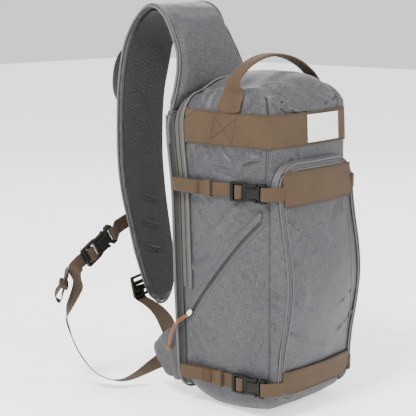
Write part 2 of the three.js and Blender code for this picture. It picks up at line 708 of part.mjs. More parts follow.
// Side pocket zip: a slanting zip with a welt above it, on the left side panel.
// Along runs from the front seam (0) to the rear (1); height is a share of PACK_HEIGHT.
const SIDE_ZIP_ROWS = table(['along', 'height'], [
  [0.0, 0.57], [0.2, 0.512], [0.45, 0.432], [0.7, 0.348], [0.9, 0.276], [1.0, 0.24],
]);
const SIDE_ZIP_FRONT = 0.97; // wall share of the zip's front end
const SIDE_ZIP_REAR = 0.06;

function sideZipPoint(along, offset, lift) {
  const wall = lerp(SIDE_ZIP_FRONT, SIDE_ZIP_REAR, along);
  const z = read(SIDE_ZIP_ROWS, 'along', along).height * PACK_HEIGHT + offset;
  return hoopPoint(-1, wall, z, lift);
}

function makeSideZip() {
  const stops = steps(0, 1, 12);
  const low = SIDE_ZIP_WIDTH;
  add('side_zip', 'zip', sheet(stops, [0, low], WEBBING / 2, (along, offset, lift) => (
    sideZipPoint(along, offset, LAID_GAP + lift)
  )));
  const seam = low + SEW_GAP;
  const weltRows = steps(seam, seam + SIDE_WELT_WIDTH, 2);
  add('side_zip_welt', 'cloth', sheet(stops, weltRows, WEBBING, (along, offset, lift) => (
    sideZipPoint(along, offset, LAID_GAP + lift)
  )));
}

// Buckles. Local x runs from the fixed end to the ladder end, local z points away from the body.

function plate(points, holes, depth) {
  const shape = new THREE.Shape(points.map(([x, y]) => new THREE.Vector2(x, y)));
  for (const hole of holes) shape.holes.push(new THREE.Path(hole.map(([x, y]) => new THREE.Vector2(x, y))));
  return tidyGeometry(new THREE.ExtrudeGeometry(shape, { depth, bevelEnabled: false }));
}

const mirrored = (points) => [...points, ...points.map(([x, y]) => [x, -y]).reverse()];
const slotAt = (start, length, half) => [
  [start, -half], [start + length, -half], [start + length, half], [start, half],
];

// Shares of the buckle's length and half width.
const SOCKET_OUTLINE = [[0.0, 0.86], [0.04, 1.0], [0.16, 1.0], [0.21, 0.62], [0.27, 0.52], [0.52, 0.52]];
const PLUG_OUTLINE = [[1.0, 0.9], [0.97, 1.0], [0.58, 1.0], [0.5, 0.86], [0.33, 0.86], [0.3, 1.0],
  [0.24, 0.94], [0.25, 0.7], [0.3, 0.545], [0.54, 0.545]];
const SOCKET_SLOT = 0.05;
const LADDER_SLOTS = [0.62, 0.81];
const SLOT_LENGTH = 0.1;
const PLUG_LOW = 0.15; // underside of the plug, as a share of the buckle's thickness
const PLUG_HIGH = 0.85;

function socketGeometry(scale) {
  const size = ([x, y]) => [x * BUCKLE_LENGTH * scale, y * BUCKLE_WIDTH * scale / 2];
  const length = BUCKLE_LENGTH * scale;
  const slot = slotAt(SOCKET_SLOT * length, SLOT_LENGTH * length, slotHalf(scale));
  return plate(mirrored(SOCKET_OUTLINE.map(size)), [slot], BUCKLE_THICKNESS * scale);
}

function plugGeometry(scale) {
  const size = ([x, y]) => [x * BUCKLE_LENGTH * scale, y * BUCKLE_WIDTH * scale / 2];
  const slots = LADDER_SLOTS.map((start, index) => (
    slotAt(start * BUCKLE_LENGTH * scale, SLOT_LENGTH * BUCKLE_LENGTH * scale, slotHalf(scale) + index * SEW_GAP)
  ));
  const thickness = BUCKLE_THICKNESS * scale * (PLUG_HIGH - PLUG_LOW);
  const geometry = plate(mirrored(PLUG_OUTLINE.map(size)), slots, thickness);
  geometry.translate(0, 0, BUCKLE_THICKNESS * scale * PLUG_LOW);
  return geometry;
}

function slotHalf(scale) {
  return BUCKLE_WIDTH * scale * 0.39;
}

// A square ring of webbing round the layers of a strap.
function keeperGeometry(width, height, length) {
  const wall = WEBBING;
  const box = (grow) => [[-height / 2 - grow, -width / 2 - grow], [height / 2 + grow, -width / 2 - grow],
    [height / 2 + grow, width / 2 + grow], [-height / 2 - grow, width / 2 + grow]];
  const geometry = plate(box(wall), [box(0)], length);
  geometry.rotateY(HALF_TURN);
  return geometry;
}

// Compression straps. Heights are of the strap's middle; the y values are places along the side panel.
const UPPER_STRAP_RISE = 20; // above the foot of the panel that the strap meets
const LOWER_STRAP_RISE = 14;
const STRAP_LEVELS = [
  { level: 'upper', height: UPPER_PANEL_FOOT + UPPER_STRAP_RISE, buckleEnd: -89, anchor: 50, tail: 84, keeper: 12 },
  { level: 'lower', height: LOWER_PANEL_FOOT + LOWER_STRAP_RISE, buckleEnd: -92, anchor: 44, tail: 66, keeper: -6 },
];

// The frame of a buckle that lies on a side panel.
function sideFrame(side, y, z, lift) {
  const span = BUCKLE_LENGTH / 2;
  const here = sidePoint(side, y + span, z, lift);
  const rear = sidePoint(side, y + 2 * span, z, lift);
  const front = sidePoint(side, Math.max(y, frontFace(FRONT_WIDTH / 2, z) + SIDE_EDGE_RADIUS), z, lift);
  const along = rear.clone().sub(front).setZ(0).normalize();
  const width = vector(0, 0, side);
  const out = along.clone().cross(width).normalize();
  const origin = here.clone().addScaledVector(along, -span);
  return new THREE.Matrix4().makeBasis(along, width, out).setPosition(origin);
}

const KEEPER_ROOM = WEBBING * 3 + SEW_GAP * 5; // height inside a keeper: three layers of webbing

// The way of webbing round a buckle's ladder bar: out of the base layer, over the bar and back below it.
// Each place is a share of the buckle's length and a height above its seat.
function ladderRun(scale) {
  const low = PLUG_LOW * BUCKLE_THICKNESS * scale;
  const high = PLUG_HIGH * BUCKLE_THICKNESS * scale;
  const tailLayer = low - SEW_GAP - WEBBING / 2;
  const baseLayer = tailLayer - WEBBING - SEW_GAP;
  const over = high + SEW_GAP + WEBBING / 2;
  const [first, second] = LADDER_SLOTS.map((start) => start + SLOT_LENGTH / 2);
  const middle = (first + second) / 2;
  return [
    [1.04, baseLayer], [second, baseLayer], [first + 0.05, baseLayer * 0.9], [first + 0.005, tailLayer],
    [first - 0.005, (low + high) / 2], [first + 0.02, over - 0.5], [middle - 0.03, over + SEW_GAP],
    [middle + 0.03, over + SEW_GAP], [second - 0.02, over - 0.5], [second + 0.005, (low + high) / 2],
    [second + 0.005, low + WEBBING * 0.3], [second + 0.03, tailLayer], [0.99, tailLayer], [1.04, tailLayer],
  ];
}

function makeCompressionStrap(side, { level, height, buckleEnd, anchor, tail, keeper }) {
  const name = `${side < 0 ? 'left' : 'right'}_${level}`;
  const seat = LAID_GAP * 2 + WEBBING * 2 + SEW_GAP;
  const frame = sideFrame(side, buckleEnd, height, seat);
  const socket = add(`${name}_buckle_socket`, 'plastic', socketGeometry(1));
  socket.applyMatrix4(frame);
  const plug = add(`${name}_buckle_plug`, 'plastic', plugGeometry(1));
  plug.applyMatrix4(frame);

  const inBuckle = (x, lift) => vector(x * BUCKLE_LENGTH, 0, lift).applyMatrix4(frame);
  const base = LAID_GAP + WEBBING + SEW_GAP + WEBBING / 2;
  const onSide = (y, layer) => sidePoint(side, y, height, base + layer * (WEBBING + SEW_GAP));
  const reach = tail - anchor;
  const run = [
    onSide(anchor, -0.4), onSide(lerp(anchor, keeper, 0.5), 0), onSide(keeper + NARROW_WEBBING / 3, 0),
    onSide(keeper - NARROW_WEBBING / 3, 0),
    ...ladderRun(1).map(([x, lift]) => inBuckle(x, lift)),
    onSide(keeper - NARROW_WEBBING / 3, 1), onSide(keeper + NARROW_WEBBING / 3, 1),
    onSide(lerp(keeper, anchor, 0.6), 1.6), onSide(anchor, 2.1), onSide(anchor + reach * 0.8, 2.7),
    onSide(tail, 3.8), onSide(anchor + reach * 0.8, 5.0), onSide(lerp(keeper, anchor, 0.8), 4.2),
    onSide(lerp(keeper, anchor, 0.5), 2.9), onSide(keeper + NARROW_WEBBING / 3, 2.1),
    onSide(keeper - NARROW_WEBBING / 4, 2.05),
  ];
  const up = vector(0, 0, 1);
  const knots = run.map((place) => ({ place, across: up }));
  const halfWidth = NARROW_WEBBING / 2 - SEW_GAP;
  add(`${name}_strap`, 'webbing', band(stationsOn(knots, knots.length - 1, halfWidth), WEBBING));

  const length = NARROW_WEBBING / 2;
  const hold = keeperGeometry(NARROW_WEBBING, KEEPER_ROOM, length);
  const holdSeat = LAID_GAP + WEBBING + KEEPER_ROOM / 2;
  const holdFrame = sideFrame(side, keeper - BUCKLE_LENGTH / 2, height, holdSeat);
  const shift = new THREE.Matrix4().makeTranslation((BUCKLE_LENGTH - length) / 2, 0, 0);
  const loop = add(`${name}_keeper`, 'webbing', hold);
  loop.applyMatrix4(holdFrame.multiply(shift));

  const half = PANEL_WEBBING_WIDTH / 2;
  const face = pocketFace(half, height);
  const panelSeat = POCKET_WALL / 2 + WELT_THICKNESS + LAID_GAP * 3 + WEBBING / 2;
  const edge = sidePoint(side, frontFace(FRONT_WIDTH / 2, height) + SIDE_EDGE_RADIUS, height, seat);
  const barMiddle = SOCKET_SLOT + SLOT_LENGTH / 2;
  const top = BUCKLE_THICKNESS + SEW_GAP * 1.5 + WEBBING / 2;
  const short = [
    inBuckle(barMiddle, BUCKLE_THICKNESS / 2), inBuckle(barMiddle - 0.01, top - 0.6),
    inBuckle(0.02, top + SEW_GAP),
    inBuckle(-0.07, top * 0.7), vector(edge.x - side * 3, face, height),
    vector(side * (half + 5), face - panelSeat, height),
    vector(side * (half + SEW_GAP), face - panelSeat, height),
  ];
  const shortKnots = short.map((place) => ({ place, across: up }));
  add(`${name}_short_strap`, 'webbing', band(stationsOn(shortKnots, 12, halfWidth), WEBBING));
}

// Shoulder strap. Reach, height, middle and width are shares of STRAP_REACH, STRAP_RISE or STRAP_DROP,
// and STRAP_WIDTH; roll raises the right edge, in degrees.
const STRAP_ROWS = table(['reach', 'height', 'middle', 'width', 'roll'], [
  [0.0, 0.0, 0.0, 2.12, 0], [0.015, 0.12, 0.0, 1.98, 0], [0.05, 0.26, -0.01, 1.74, 0],
  [0.09, 0.42, -0.03, 1.5, 0], [0.14, 0.6, -0.07, 1.32, 1], [0.22, 0.77, -0.12, 1.24, 2],
  [0.34, 0.91, -0.105, 1.24, 3], [0.52, 1.0, -0.085, 1.22, 3], [0.72, 0.97, -0.12, 1.14, 2],
  [0.87, 0.84, -0.19, 1.05, 1], [0.96, 0.65, -0.28, 1.04, 0],
]);
const STRAP_LEG_ROWS = table(['drop', 'reach', 'middle', 'width'], [
  [0.18, 0.99, -0.36, 1.05], [0.26, 1.0, -0.44, 1.01],
  [0.365, 1.0, -0.485, 0.98], [0.505, 1.0, -0.485, 0.97],
  [0.61, 0.99, -0.43, 0.94], [0.705, 0.97, -0.35, 0.87],
  [0.8, 0.95, -0.265, 0.83], [0.87, 0.92, -0.205, 0.77],
  [0.93, 0.9, -0.17, 0.65], [0.975, 0.89, -0.14, 0.42], [1.0, 0.885, -0.14, 0.14],
]);

const CREST_ROW = 7;

function strapKnots() {
  const rootY = backLine(PANEL_TOP) - PANEL_THICKNESS / 2;
  const crest = PANEL_TOP + STRAP_RISE;
  const loop = STRAP_ROWS.map(({ reach, height, middle, width, roll }) => ({
    place: vector(middle * STRAP_WIDTH, rootY + reach * STRAP_REACH, PANEL_TOP + height * STRAP_RISE),
    width: width * STRAP_WIDTH,
    roll: THREE.MathUtils.degToRad(roll),
  }));
  const leg = STRAP_LEG_ROWS.map(({ drop, reach, middle, width }) => ({
    place: vector(middle * STRAP_WIDTH, rootY + reach * STRAP_REACH, crest - drop * STRAP_DROP),
    width: width * STRAP_WIDTH,
    roll: 0,
  }));
  return [...loop, ...leg];
}

function strapStations(count, inset) {
  const knots = strapKnots();
  const path = new THREE.CatmullRomCurve3(knots.map((knot) => knot.place), false, 'centripetal');
  return steps(0, 1, count).map((t) => {
    const reach = t * (knots.length - 1);
    const index = Math.min(Math.floor(reach), knots.length - 2);
    const share = reach - index;
    const width = lerp(knots[index].width, knots[index + 1].width, share);
    const roll = lerp(knots[index].roll, knots[index + 1].roll, share);
    const along = path.getTangent(t);
    const across = vector(Math.cos(roll), 0, Math.sin(roll));
    across.addScaledVector(along, -across.dot(along)).normalize();
    return { place: path.getPoint(t), along, across, half: Math.max(width / 2 - inset, 1) };
  });
}

const STRAP_STEPS = 38;
const STRAP_COLUMNS = [-1, -0.9, -0.6, 0, 0.6, 0.9, 1];
const strapProfile = (share) => 0.45 + 0.55 * Math.sqrt(1 - Math.abs(share) ** 5);

function makeStrap() {
  const stations = strapStations(STRAP_STEPS, 0);
  add('sling_strap', 'cloth', band(stations, STRAP_THICKNESS, STRAP_COLUMNS, strapProfile));
}

// Stations of a piece that lies on one face of the strap.
function strapFaceStations(from, to, inset, depth) {
  return strapStations(STRAP_STEPS, inset).slice(from, to).map((station) => {
    const out = station.across.clone().cross(station.along).normalize();
    return { ...station, place: station.place.clone().addScaledVector(out, depth) };
  });
}

function makeStrapTrim() {
  const margin = STRAP_WIDTH * 0.06;
  const seat = STRAP_THICKNESS / 2 + LAID_GAP * 1.5 + LINING / 2;
  const face = strapFaceStations(3, STRAP_STEPS - 1, margin, -seat);
  add('strap_lining', 'mesh', band(face, LINING, [-1, 0, 1]));
  add('strap_piping', 'piping', tube(strapEdge(PIPING * 0.4 + SEW_GAP * 2.5), PIPING * 0.8, 5));
}

// The strap's whole edge, from its left root round the tip to its right root, set off in its own plane.
function strapEdge(offset) {
  const frames = strapStations(STRAP_STEPS, 0);
  const rail = (sign) => frames.map(({ place, across, half }) => (
    place.clone().addScaledVector(across, sign * half)
  ));
  const edge = [...rail(-1), ...rail(1).reverse()];
  return edge.slice(1, -1).map((point, index) => {
    const tangent = edge[index + 2].clone().sub(edge[index]).normalize();
    const station = frames[Math.min(index + 1, edge.length - 2 - index)];
    const away = point.clone().sub(station.place);
    const out = station.across.clone().cross(station.along).normalize();
    const normal = tangent.clone().cross(out).normalize();
    return point.clone().addScaledVector(normal, normal.dot(away) < 0 ? -offset : offset);
  });
}

// Small loop of webbing on the outer face of the strap's front leg

const LOOP_ROWS = table(['drop', 'stand', 'across'], [
  [0.15, 0.0, -0.33], [0.185, 0.75, -0.37], [0.235, 1.0, -0.39], [0.29, 0.75, -0.37], [0.325, 0.0, -0.33],
]);
const LOOP_STAND = 12;

// A place on the strap's front leg, by its drop below the crest, as a share of STRAP_DROP.
function legFrame(drop) {
  const height = strapKnots()[CREST_ROW].place.z - drop * STRAP_DROP;
  const stations = strapStations(200, 0).filter((station) => station.along.z < 0);
  const station = stations.reduce((best, other) => (
    Math.abs(other.place.z - height) < Math.abs(best.place.z - height) ? other : best
  ));
  const out = station.across.clone().cross(station.along).normalize();
  return { ...station, out };
}

function makeStrapLoop() {
  const seat = STRAP_THICKNESS / 2 + SEW_GAP + WEBBING / 2;
  const knots = LOOP_ROWS.map(({ drop, stand, across }) => {
    const frame = legFrame(drop);
    const place = frame.place.clone().addScaledVector(frame.out, seat + stand * LOOP_STAND)
      .addScaledVector(frame.across, across * STRAP_WIDTH);
    return { place, across: frame.across };
  });
  add('strap_loop', 'piping', band(stationsOn(knots, 16, NARROW_WEBBING / 2), WEBBING));
}

// Wing: a padded fin behind the foot of the panel, where the straps end.
// Reach is a share of WING_REACH, middle and height are shares of WING_HEIGHT.
const WING_ROWS = table(['reach', 'middle', 'height'], [
  [0.0, 0.5, 1.0], [0.28, 0.49, 0.95], [0.52, 0.48, 0.8],
  [0.72, 0.5, 0.6], [0.88, 0.52, 0.4], [1.0, 0.53, 0.12],
]);
const WING_FOOT = 9;

function wingX() {
  return -(BACK_WIDTH / 2 + PANEL_PROUD) + WING_THICKNESS / 2;
}

function makeWing() {
  const foot = backLine(WING_FOOT);
  const sweep = backLine(WING_FOOT + WING_HEIGHT) - foot;
  const knots = steps(0, 1, 9).map((reach) => {
    const row = read(WING_ROWS, 'reach', reach);
    return {
      place: vector(
        wingX(),
        foot + SEW_GAP + row.middle * sweep + reach * WING_REACH,
        WING_FOOT + row.middle * WING_HEIGHT,
      ),
      across: vector(0, sweep, WING_HEIGHT),
      along: vector(0, 1, 0),
      skewed: true,
      half: row.height * WING_HEIGHT / 2,
      thick: WING_THICKNESS * Math.sqrt(1 - 0.8 * reach ** 3),
    };
  });
  add('wing', 'cloth', band(knots, WING_THICKNESS, [-1, -0.92, -0.6, 0, 0.6, 0.92, 1], strapProfile));
}

// Free webbing. Each row lies at a share of the way from one end to the other, set off by shares of a
// named sag to the side, to the back and up; turn blends the first direction across into the last.
const LOWER_ROWS = table(['way', 'side', 'back', 'up', 'turn'], [
  [0.0, 0.0, 0.0, 0.0, 0], [0.15, 0.1, 0.03, 0.0, 0.1],
  [0.4, 0.2, 0.05, 0.02, 0.3], [0.65, 0.2, 0.05, 0.02, 0.6],
  [0.88, 0.1, 0.02, 0.0, 0.9], [1.0, 0.0, 0.0, 0.0, 1],
]);
const LOWER_SAG = 60;
function freeRun(rows, start, end, sag) {
  return rows.map(({ way, side, back, up }) => (
    start.clone().lerp(end, way).add(vector(side, back, up).multiplyScalar(sag))
  ));
}

const LOCK_DROP = 0.961; // the ladder lock's place down the strap, as a share of STRAP_DROP
const LOCK_LENGTH = 36;
const LOCK_THICKNESS = 5;

// Ladder lock on the outer face of the strap's tip, and the webbing from it down to the wing
function makeLowerWebbing() {
  const top = legFrame(LOCK_DROP - LOCK_LENGTH / STRAP_DROP);
  const seat = STRAP_THICKNESS / 2 + SEW_GAP;
  const origin = top.place.clone().addScaledVector(top.out, seat);
  origin.addScaledVector(top.across, -STRAP_WIDTH * 0.4);
  const across = top.out.clone().cross(top.along);
  const frame = new THREE.Matrix4().makeBasis(top.along, across, top.out).setPosition(origin);
  const half = STABILIZER_WEBBING / 2 + LAID_GAP;
  const rim = WEBBING * 3;
  const outline = mirrored([[0, half + rim * 0.6], [rim, half + rim], [LOCK_LENGTH, half + rim * 0.7]]);
  const slots = [0.1, 0.42, 0.74].map((start, index) => (
    slotAt(start * LOCK_LENGTH, LOCK_LENGTH * 0.16, half + index * SEW_GAP)
  ));
  const lock = add('ladder_lock', 'plastic', plate(outline, slots, LOCK_THICKNESS));
  lock.applyMatrix4(frame);

  const inLock = (x, lift) => vector(x * LOCK_LENGTH, 0, lift).applyMatrix4(frame);
  const start = inLock(1.1, LOCK_THICKNESS);
  const end = wingSeat(0.6, 0.62);
  const meet = wingSeat(0.66, 0.86).add(vector(LAID_GAP, 0, 0));
  const first = vector(1, 0, 0);
  const last = vector(0, -1, 0);
  const run = freeRun(LOWER_ROWS, start, meet, LOWER_SAG).map((place, index) => ({
    place, across: first.clone().lerp(last, LOWER_ROWS[index].turn),
  }));
  const knots = [
    { place: inLock(0.5, LOCK_THICKNESS / 2), across: first },
    { place: inLock(0.51, LOCK_THICKNESS * 0.95), across: first },
    { place: inLock(0.62, LOCK_THICKNESS + WEBBING * 1.5), across: first },
    { place: inLock(0.85, LOCK_THICKNESS + WEBBING * 1.5), across: first },
    ...run,
    { place: end, across: last },
  ];
  add('lower_webbing', 'webbing', band(stationsOn(knots, 27, STABILIZER_WEBBING / 2), WEBBING));
}

// A place for webbing sewn to the inner face of the wing, by shares of its reach and height.
function wingSeat(reach, height) {
  const inner = wingX() + WING_THICKNESS / 2 + LAID_GAP + WEBBING / 2;
  return vector(inner, backLine(WING_FOOT) + WING_REACH * reach, WING_FOOT + WING_HEIGHT * height);
}

// Stabilizer strap: a stub on the front leg, a side-release buckle and a long ribbon back to the wing
const STABILIZER_DROP = 0.68;
const STUB_SLOPE = 20; // how far the stub falls from level, in degrees
const STUB_LENGTH = 76; // from the strap's middle line to the buckle
const BUCKLE_SLOPE = 32;

// Places on the ribbon and its folded tail: side is a share of BACK_WIDTH, back a share of STRAP_REACH
// behind the panel, height a share of PACK_HEIGHT; turn is 0 flat to the wing and 90 edge-on to it.
const RIBBON_ROWS = table(['side', 'back', 'height', 'turn'], [
  [-0.841, 1.273, 0.31, 40], [-0.885, 1.372, 0.237, 62],
  [-0.899, 1.397, 0.2, 84], [-0.885, 1.372, 0.159, 80],
  [-0.861, 1.314, 0.11, 73], [-0.817, 1.223, 0.057, 71],
  [-0.76, 1.099, 0.014, 71], [-0.688, 0.95, -0.008, 70],
  [-0.615, 0.81, -0.008, 62], [-0.543, 0.678, 0.012, 50],
  [-0.475, 0.562, 0.037, 30], [-0.425, 0.446, 0.059, 8],
]);
const TAIL_ROWS = table(['side', 'back', 'height', 'turn'], [
  [-0.9, 1.36, 0.365, 76], [-0.908, 1.385, 0.35, 77], [-0.914, 1.415, 0.322, 78], [-0.948, 1.485, 0.29, 74],
  [-0.955, 1.5, 0.27, 76], [-0.935, 1.45, 0.256, 90],
  [-0.923, 1.43, 0.278, 100], [-0.903, 1.396, 0.318, 102],
  [-0.89, 1.366, 0.35, 102],
]);
// Between the buckle and the first row the ribbon turns by this share, over this part of the way.
const TWIST_REACH = 18;
const TWIST_ROWS = table(['way', 'turned'], [[0.5, 0.6]]);
const TAIL_KEEPER_ROW = 2;
const RIBBON_NORMAL = vector(-0.78, -0.63, 0); // square to the upright plane that the ribbon hangs in

// Stations along rows of places, turned about their own direction.
function ribbonKnots(rows, before) {
  const places = rows.map(({ side, back, height }) => (
    vector(side * BACK_WIDTH, BACK_PLANE + back * STRAP_REACH, height * PACK_HEIGHT)
  ));
  const last = places.length - 1;
  return places.map((place, index) => {
    const from = index ? places[index - 1] : before;
    const tangent = places[Math.min(index + 1, last)].clone().sub(from).normalize();
    const angle = THREE.MathUtils.degToRad(rows[index].turn);
    const across = RIBBON_NORMAL.clone().multiplyScalar(Math.sin(angle))
      .addScaledVector(RIBBON_NORMAL.clone().cross(tangent), Math.cos(angle));
    return { place, across, tangent };
  });
}

function makeStabilizer() {
  const scale = STABILIZER_BUCKLE_SCALE;
  const leg = legFrame(STABILIZER_DROP);
  const falling = (slope) => {
    const angle = THREE.MathUtils.degToRad(slope);
    return vector(-Math.cos(angle), 0.05, -Math.sin(angle)).normalize();
  };
  const along = falling(BUCKLE_SLOPE);
  const stubAlong = falling(STUB_SLOPE);
  const seat = STRAP_THICKNESS / 2 + LAID_GAP * 2 + WEBBING / 2;
  const root = leg.place.clone().addScaledVector(leg.out, seat);
  const origin = root.clone().addScaledVector(stubAlong, STUB_LENGTH);
  const out = vector(0, -1, 0).addScaledVector(along, along.y).normalize();
  const width = out.clone().cross(along);
  const frame = new THREE.Matrix4().makeBasis(along, width, out).setPosition(origin);
  const socket = add('stabilizer_buckle_socket', 'plastic', socketGeometry(scale));
  socket.applyMatrix4(frame);
  const plug = add('stabilizer_buckle_plug', 'plastic', plugGeometry(scale));
  plug.applyMatrix4(frame);

  const at = (x, lift) => vector(x * BUCKLE_LENGTH * scale, 0, lift).applyMatrix4(frame);
  const thick = BUCKLE_THICKNESS * scale;
  const top = thick + SEW_GAP * 1.5 + WEBBING / 2;
  const barMiddle = SOCKET_SLOT + SLOT_LENGTH / 2;
  const onStub = (share) => root.clone().addScaledVector(stubAlong, STUB_LENGTH * share);
  const stub = [
    at(barMiddle, thick / 2), at(barMiddle - 0.01, top - 0.6), at(0.02, top + SEW_GAP), at(-0.1, top * 0.6),
    onStub(0.78), onStub(0.5), onStub(0.25), onStub(0),
  ];
  const half = STABILIZER_WEBBING / 2 - SEW_GAP;
  const stubKnots = stub.map((place) => ({ place, across: width }));
  add('stabilizer_stub', 'webbing', band(stationsOn(stubKnots, 14, half), WEBBING));

  const ladder = ladderRun(scale).slice(4).map(([x, lift]) => ({ place: at(x, lift), across: width }));
  const exit = at(1.04, 0);
  const clear = at(1.15, -LAID_GAP);
  const run = ribbonKnots(RIBBON_ROWS, clear);
  const end = wingSeat(0.68, 0.34);
  const bend = new THREE.QuadraticBezierCurve3(
    clear, clear.clone().addScaledVector(along, TWIST_REACH), run[0].place,
  );
  const facing = run[0].across.clone().multiplyScalar(Math.sign(run[0].across.dot(width)) || 1);
  const twist = TWIST_ROWS.map(({ way, turned }) => (
    { place: bend.getPoint(way), across: width.clone().lerp(facing, turned).normalize() }
  ));
  const knots = [
    ...ladder, { place: clear, across: width }, ...twist, ...run, { place: end, across: vector(0, 0.5, 0.87) },
  ];
  add('stabilizer_webbing', 'webbing', band(stationsOn(knots, 2 * (knots.length - 1), half), WEBBING));

  const tail = ribbonKnots(TAIL_ROWS, exit);
  add('stabilizer_tail', 'webbing', band(stationsOn(tail, 2 * (tail.length - 1), half), WEBBING));
  const hold = tail[TAIL_KEEPER_ROW];
  const room = STABILIZER_WEBBING * 0.45;
  const keeperWidth = STABILIZER_WEBBING + LAID_GAP * 2;
  const ring = add('stabilizer_keeper', 'webbing', keeperGeometry(keeperWidth, room, NARROW_WEBBING / 3));
  const holdOut = hold.across.clone().cross(hold.tangent).normalize();
  const middle = hold.place.clone().lerp(tail[tail.length - TAIL_KEEPER_ROW].place, 0.5);
  ring.applyMatrix4(new THREE.Matrix4()
    .makeBasis(hold.tangent, hold.tangent.clone().cross(holdOut).negate(), holdOut).setPosition(middle));
}

// Zip pull: a slider, a hitch, two strands of cord and the knot at their ends.
// The route is in millimetres from the hitch.
const CORD_ROUTE = [
  [0, 0, 0], [-2.5, 2.4, -1.6], [-5.5, 9, -7], [-6.5, 16, -14], [-7, 21, -22], [-7, 25, -31], [-7, 28, -41],
  [-7, 30, -50],
];
const SLIDER_LENGTH = 12;
const SLIDER_THICKNESS = 2.4;
const HITCH_DIAMETER = CORD * 2.4;
const KNOT_DIAMETER = CORD * 3.4;

function makeZipPull() {
  const seat = sideZipPoint(0.97, SIDE_ZIP_WIDTH / 2, LAID_GAP + WEBBING + SEW_GAP);
  const fall = vector(0, 1, -1).normalize();
  const half = SLIDER_LENGTH / 2;
  const outline = [[-half, half * 0.5], [0, half * 0.7], [half, half * 0.5]];
  const body = plate(mirrored(outline), [], SLIDER_THICKNESS);
  body.rotateY(-HALF_TURN);
  body.rotateX(HALF_TURN / 2);
  add('zip_slider', 'metal', body).position.copy(seat);

  const knot = (name, center, diameter) => {
    const ball = new THREE.SphereGeometry(diameter / 2, 8, 6);
    add(name, 'cord', tidyGeometry(ball)).position.copy(center);
  };
  const touch = SEW_GAP * 0.6;
  const hitch = seat.clone().addScaledVector(fall, half + HITCH_DIAMETER / 2 + touch);
  hitch.x -= SLIDER_THICKNESS * 0.7;
  knot('zip_pull_hitch', hitch, HITCH_DIAMETER);
  const route = CORD_ROUTE.map(([x, y, z]) => hitch.clone().add(vector(x, y, z)));
  const strand = (offset) => route.slice(1).map((point) => (
    point.clone().add(vector(0, offset * CORD * 0.5, offset * CORD * 0.4))
  ));
  add('zip_pull_cord', 'cord', bar(strand(1), CORD * 0.9, 8, 10));
  add('zip_pull_cord_return', 'cord', bar(strand(-1), CORD * 0.9, 8, 10));
  const end = route[route.length - 1];
  knot('zip_pull_knot', end.clone().add(vector(0, 1, -(KNOT_DIAMETER / 2 + CORD * 0.4 + touch))), KNOT_DIAMETER);
}

makeBodyShell();
makeBackPanel();
makeBackPiping();
makeMainZip();
makeTopBand();
makeLabel();
makePocket();
makePocketPanel('upper_front_panel', UPPER_PANEL_FOOT, WIDE_WEBBING, 0);
makePocketPanel('lower_front_panel', LOWER_PANEL_FOOT, LOWER_PANEL_HEIGHT, 8);
makeHandle();
makeSideZip();
for (const side of [-1, 1]) {
  for (const row of STRAP_LEVELS) makeCompressionStrap(side, row);
}
makeStrap();
makeStrapTrim();
makeStrapLoop();
makeWing();
makeLowerWebbing();
makeStabilizer();
makeZipPull();

// The part hangs from the wearer's shoulder, under the crest of the strap.
const crest = strapKnots()[CREST_ROW].place;
pack.position.set(-crest.x, -crest.y, -(crest.z - STRAP_THICKNESS / 2 - LAID_GAP * 1.5 - LINING));

const part = new THREE.Group();
part.add(pack);

export default part;
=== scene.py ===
"""The looks of a sling pack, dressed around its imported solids.

Every piece is in metres, in the frame of the solids: X to the right seen from the front,
-Y the front, +Z up, and the origin under the crest of the shoulder strap.
"""

import logging
import math
from dataclasses import dataclass
from enum import Enum
from typing import Any, Callable, Iterable, Sequence

import bmesh
import bpy
import numpy as np
from mathutils import Euler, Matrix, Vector, noise
from mathutils.bvhtree import BVHTree


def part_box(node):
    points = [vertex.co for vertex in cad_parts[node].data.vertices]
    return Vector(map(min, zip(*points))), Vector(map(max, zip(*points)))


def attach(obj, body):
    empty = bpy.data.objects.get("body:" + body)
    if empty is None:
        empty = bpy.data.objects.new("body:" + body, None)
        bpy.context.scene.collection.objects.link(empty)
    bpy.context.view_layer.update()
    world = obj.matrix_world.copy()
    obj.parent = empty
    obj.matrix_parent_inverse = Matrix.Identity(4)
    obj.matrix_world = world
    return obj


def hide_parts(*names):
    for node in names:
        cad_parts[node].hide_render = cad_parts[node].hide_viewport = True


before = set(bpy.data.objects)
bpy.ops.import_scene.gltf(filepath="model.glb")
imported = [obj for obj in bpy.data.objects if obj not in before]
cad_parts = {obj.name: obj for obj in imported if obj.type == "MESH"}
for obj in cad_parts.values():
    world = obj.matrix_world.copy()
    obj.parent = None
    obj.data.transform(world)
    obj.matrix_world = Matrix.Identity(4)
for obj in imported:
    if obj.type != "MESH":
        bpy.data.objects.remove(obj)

LOG = logging.getLogger("sling_pack")
MM = 0.001
BODY = "root"
PACK_MIDDLE = (0.008, -0.160, -0.330)  # inside the pack: a strap's outer face looks away from it
END_REACH = 4 * MM  # how near a wide end's points lie to its corners' edges
BATCH = 4000  # places worked on at once
WELD = 1e-6  # points nearer than this are one
ANY_ANGLE = 3.1  # radians: any two triangles may join
WEB_WAVE = 0.25 * MM  # how uneven webbing is
SELVEDGE = 1.4  # a rounded selvedge's width, in thicknesses
SELVEDGE_DEPTH = 0.34  # a selvedge's outermost point, as a share of the thickness
CORD_STEP = 3 * MM  # between the places of a seam's cord
FOLD_STRENGTH = 3.0  # what every fold's depth is multiplied by
FOLD_WIDTH = 0.78  # what every fold's width is multiplied by
FOLD_REACH = 2.5  # how far a fold is felt, in widths
HELD_REACH = 2.5 * MM  # how near a sewn piece a pad keeps its place
FOAM_PRESSURE = 3.0  # how hard the filling of a pad presses
SETTLE_FRAMES = 20  # how many steps the cloth has to settle
Point = Sequence[float]
Spot = tuple[float, float]
Colour = tuple[float, float, float]


# Shader nodes

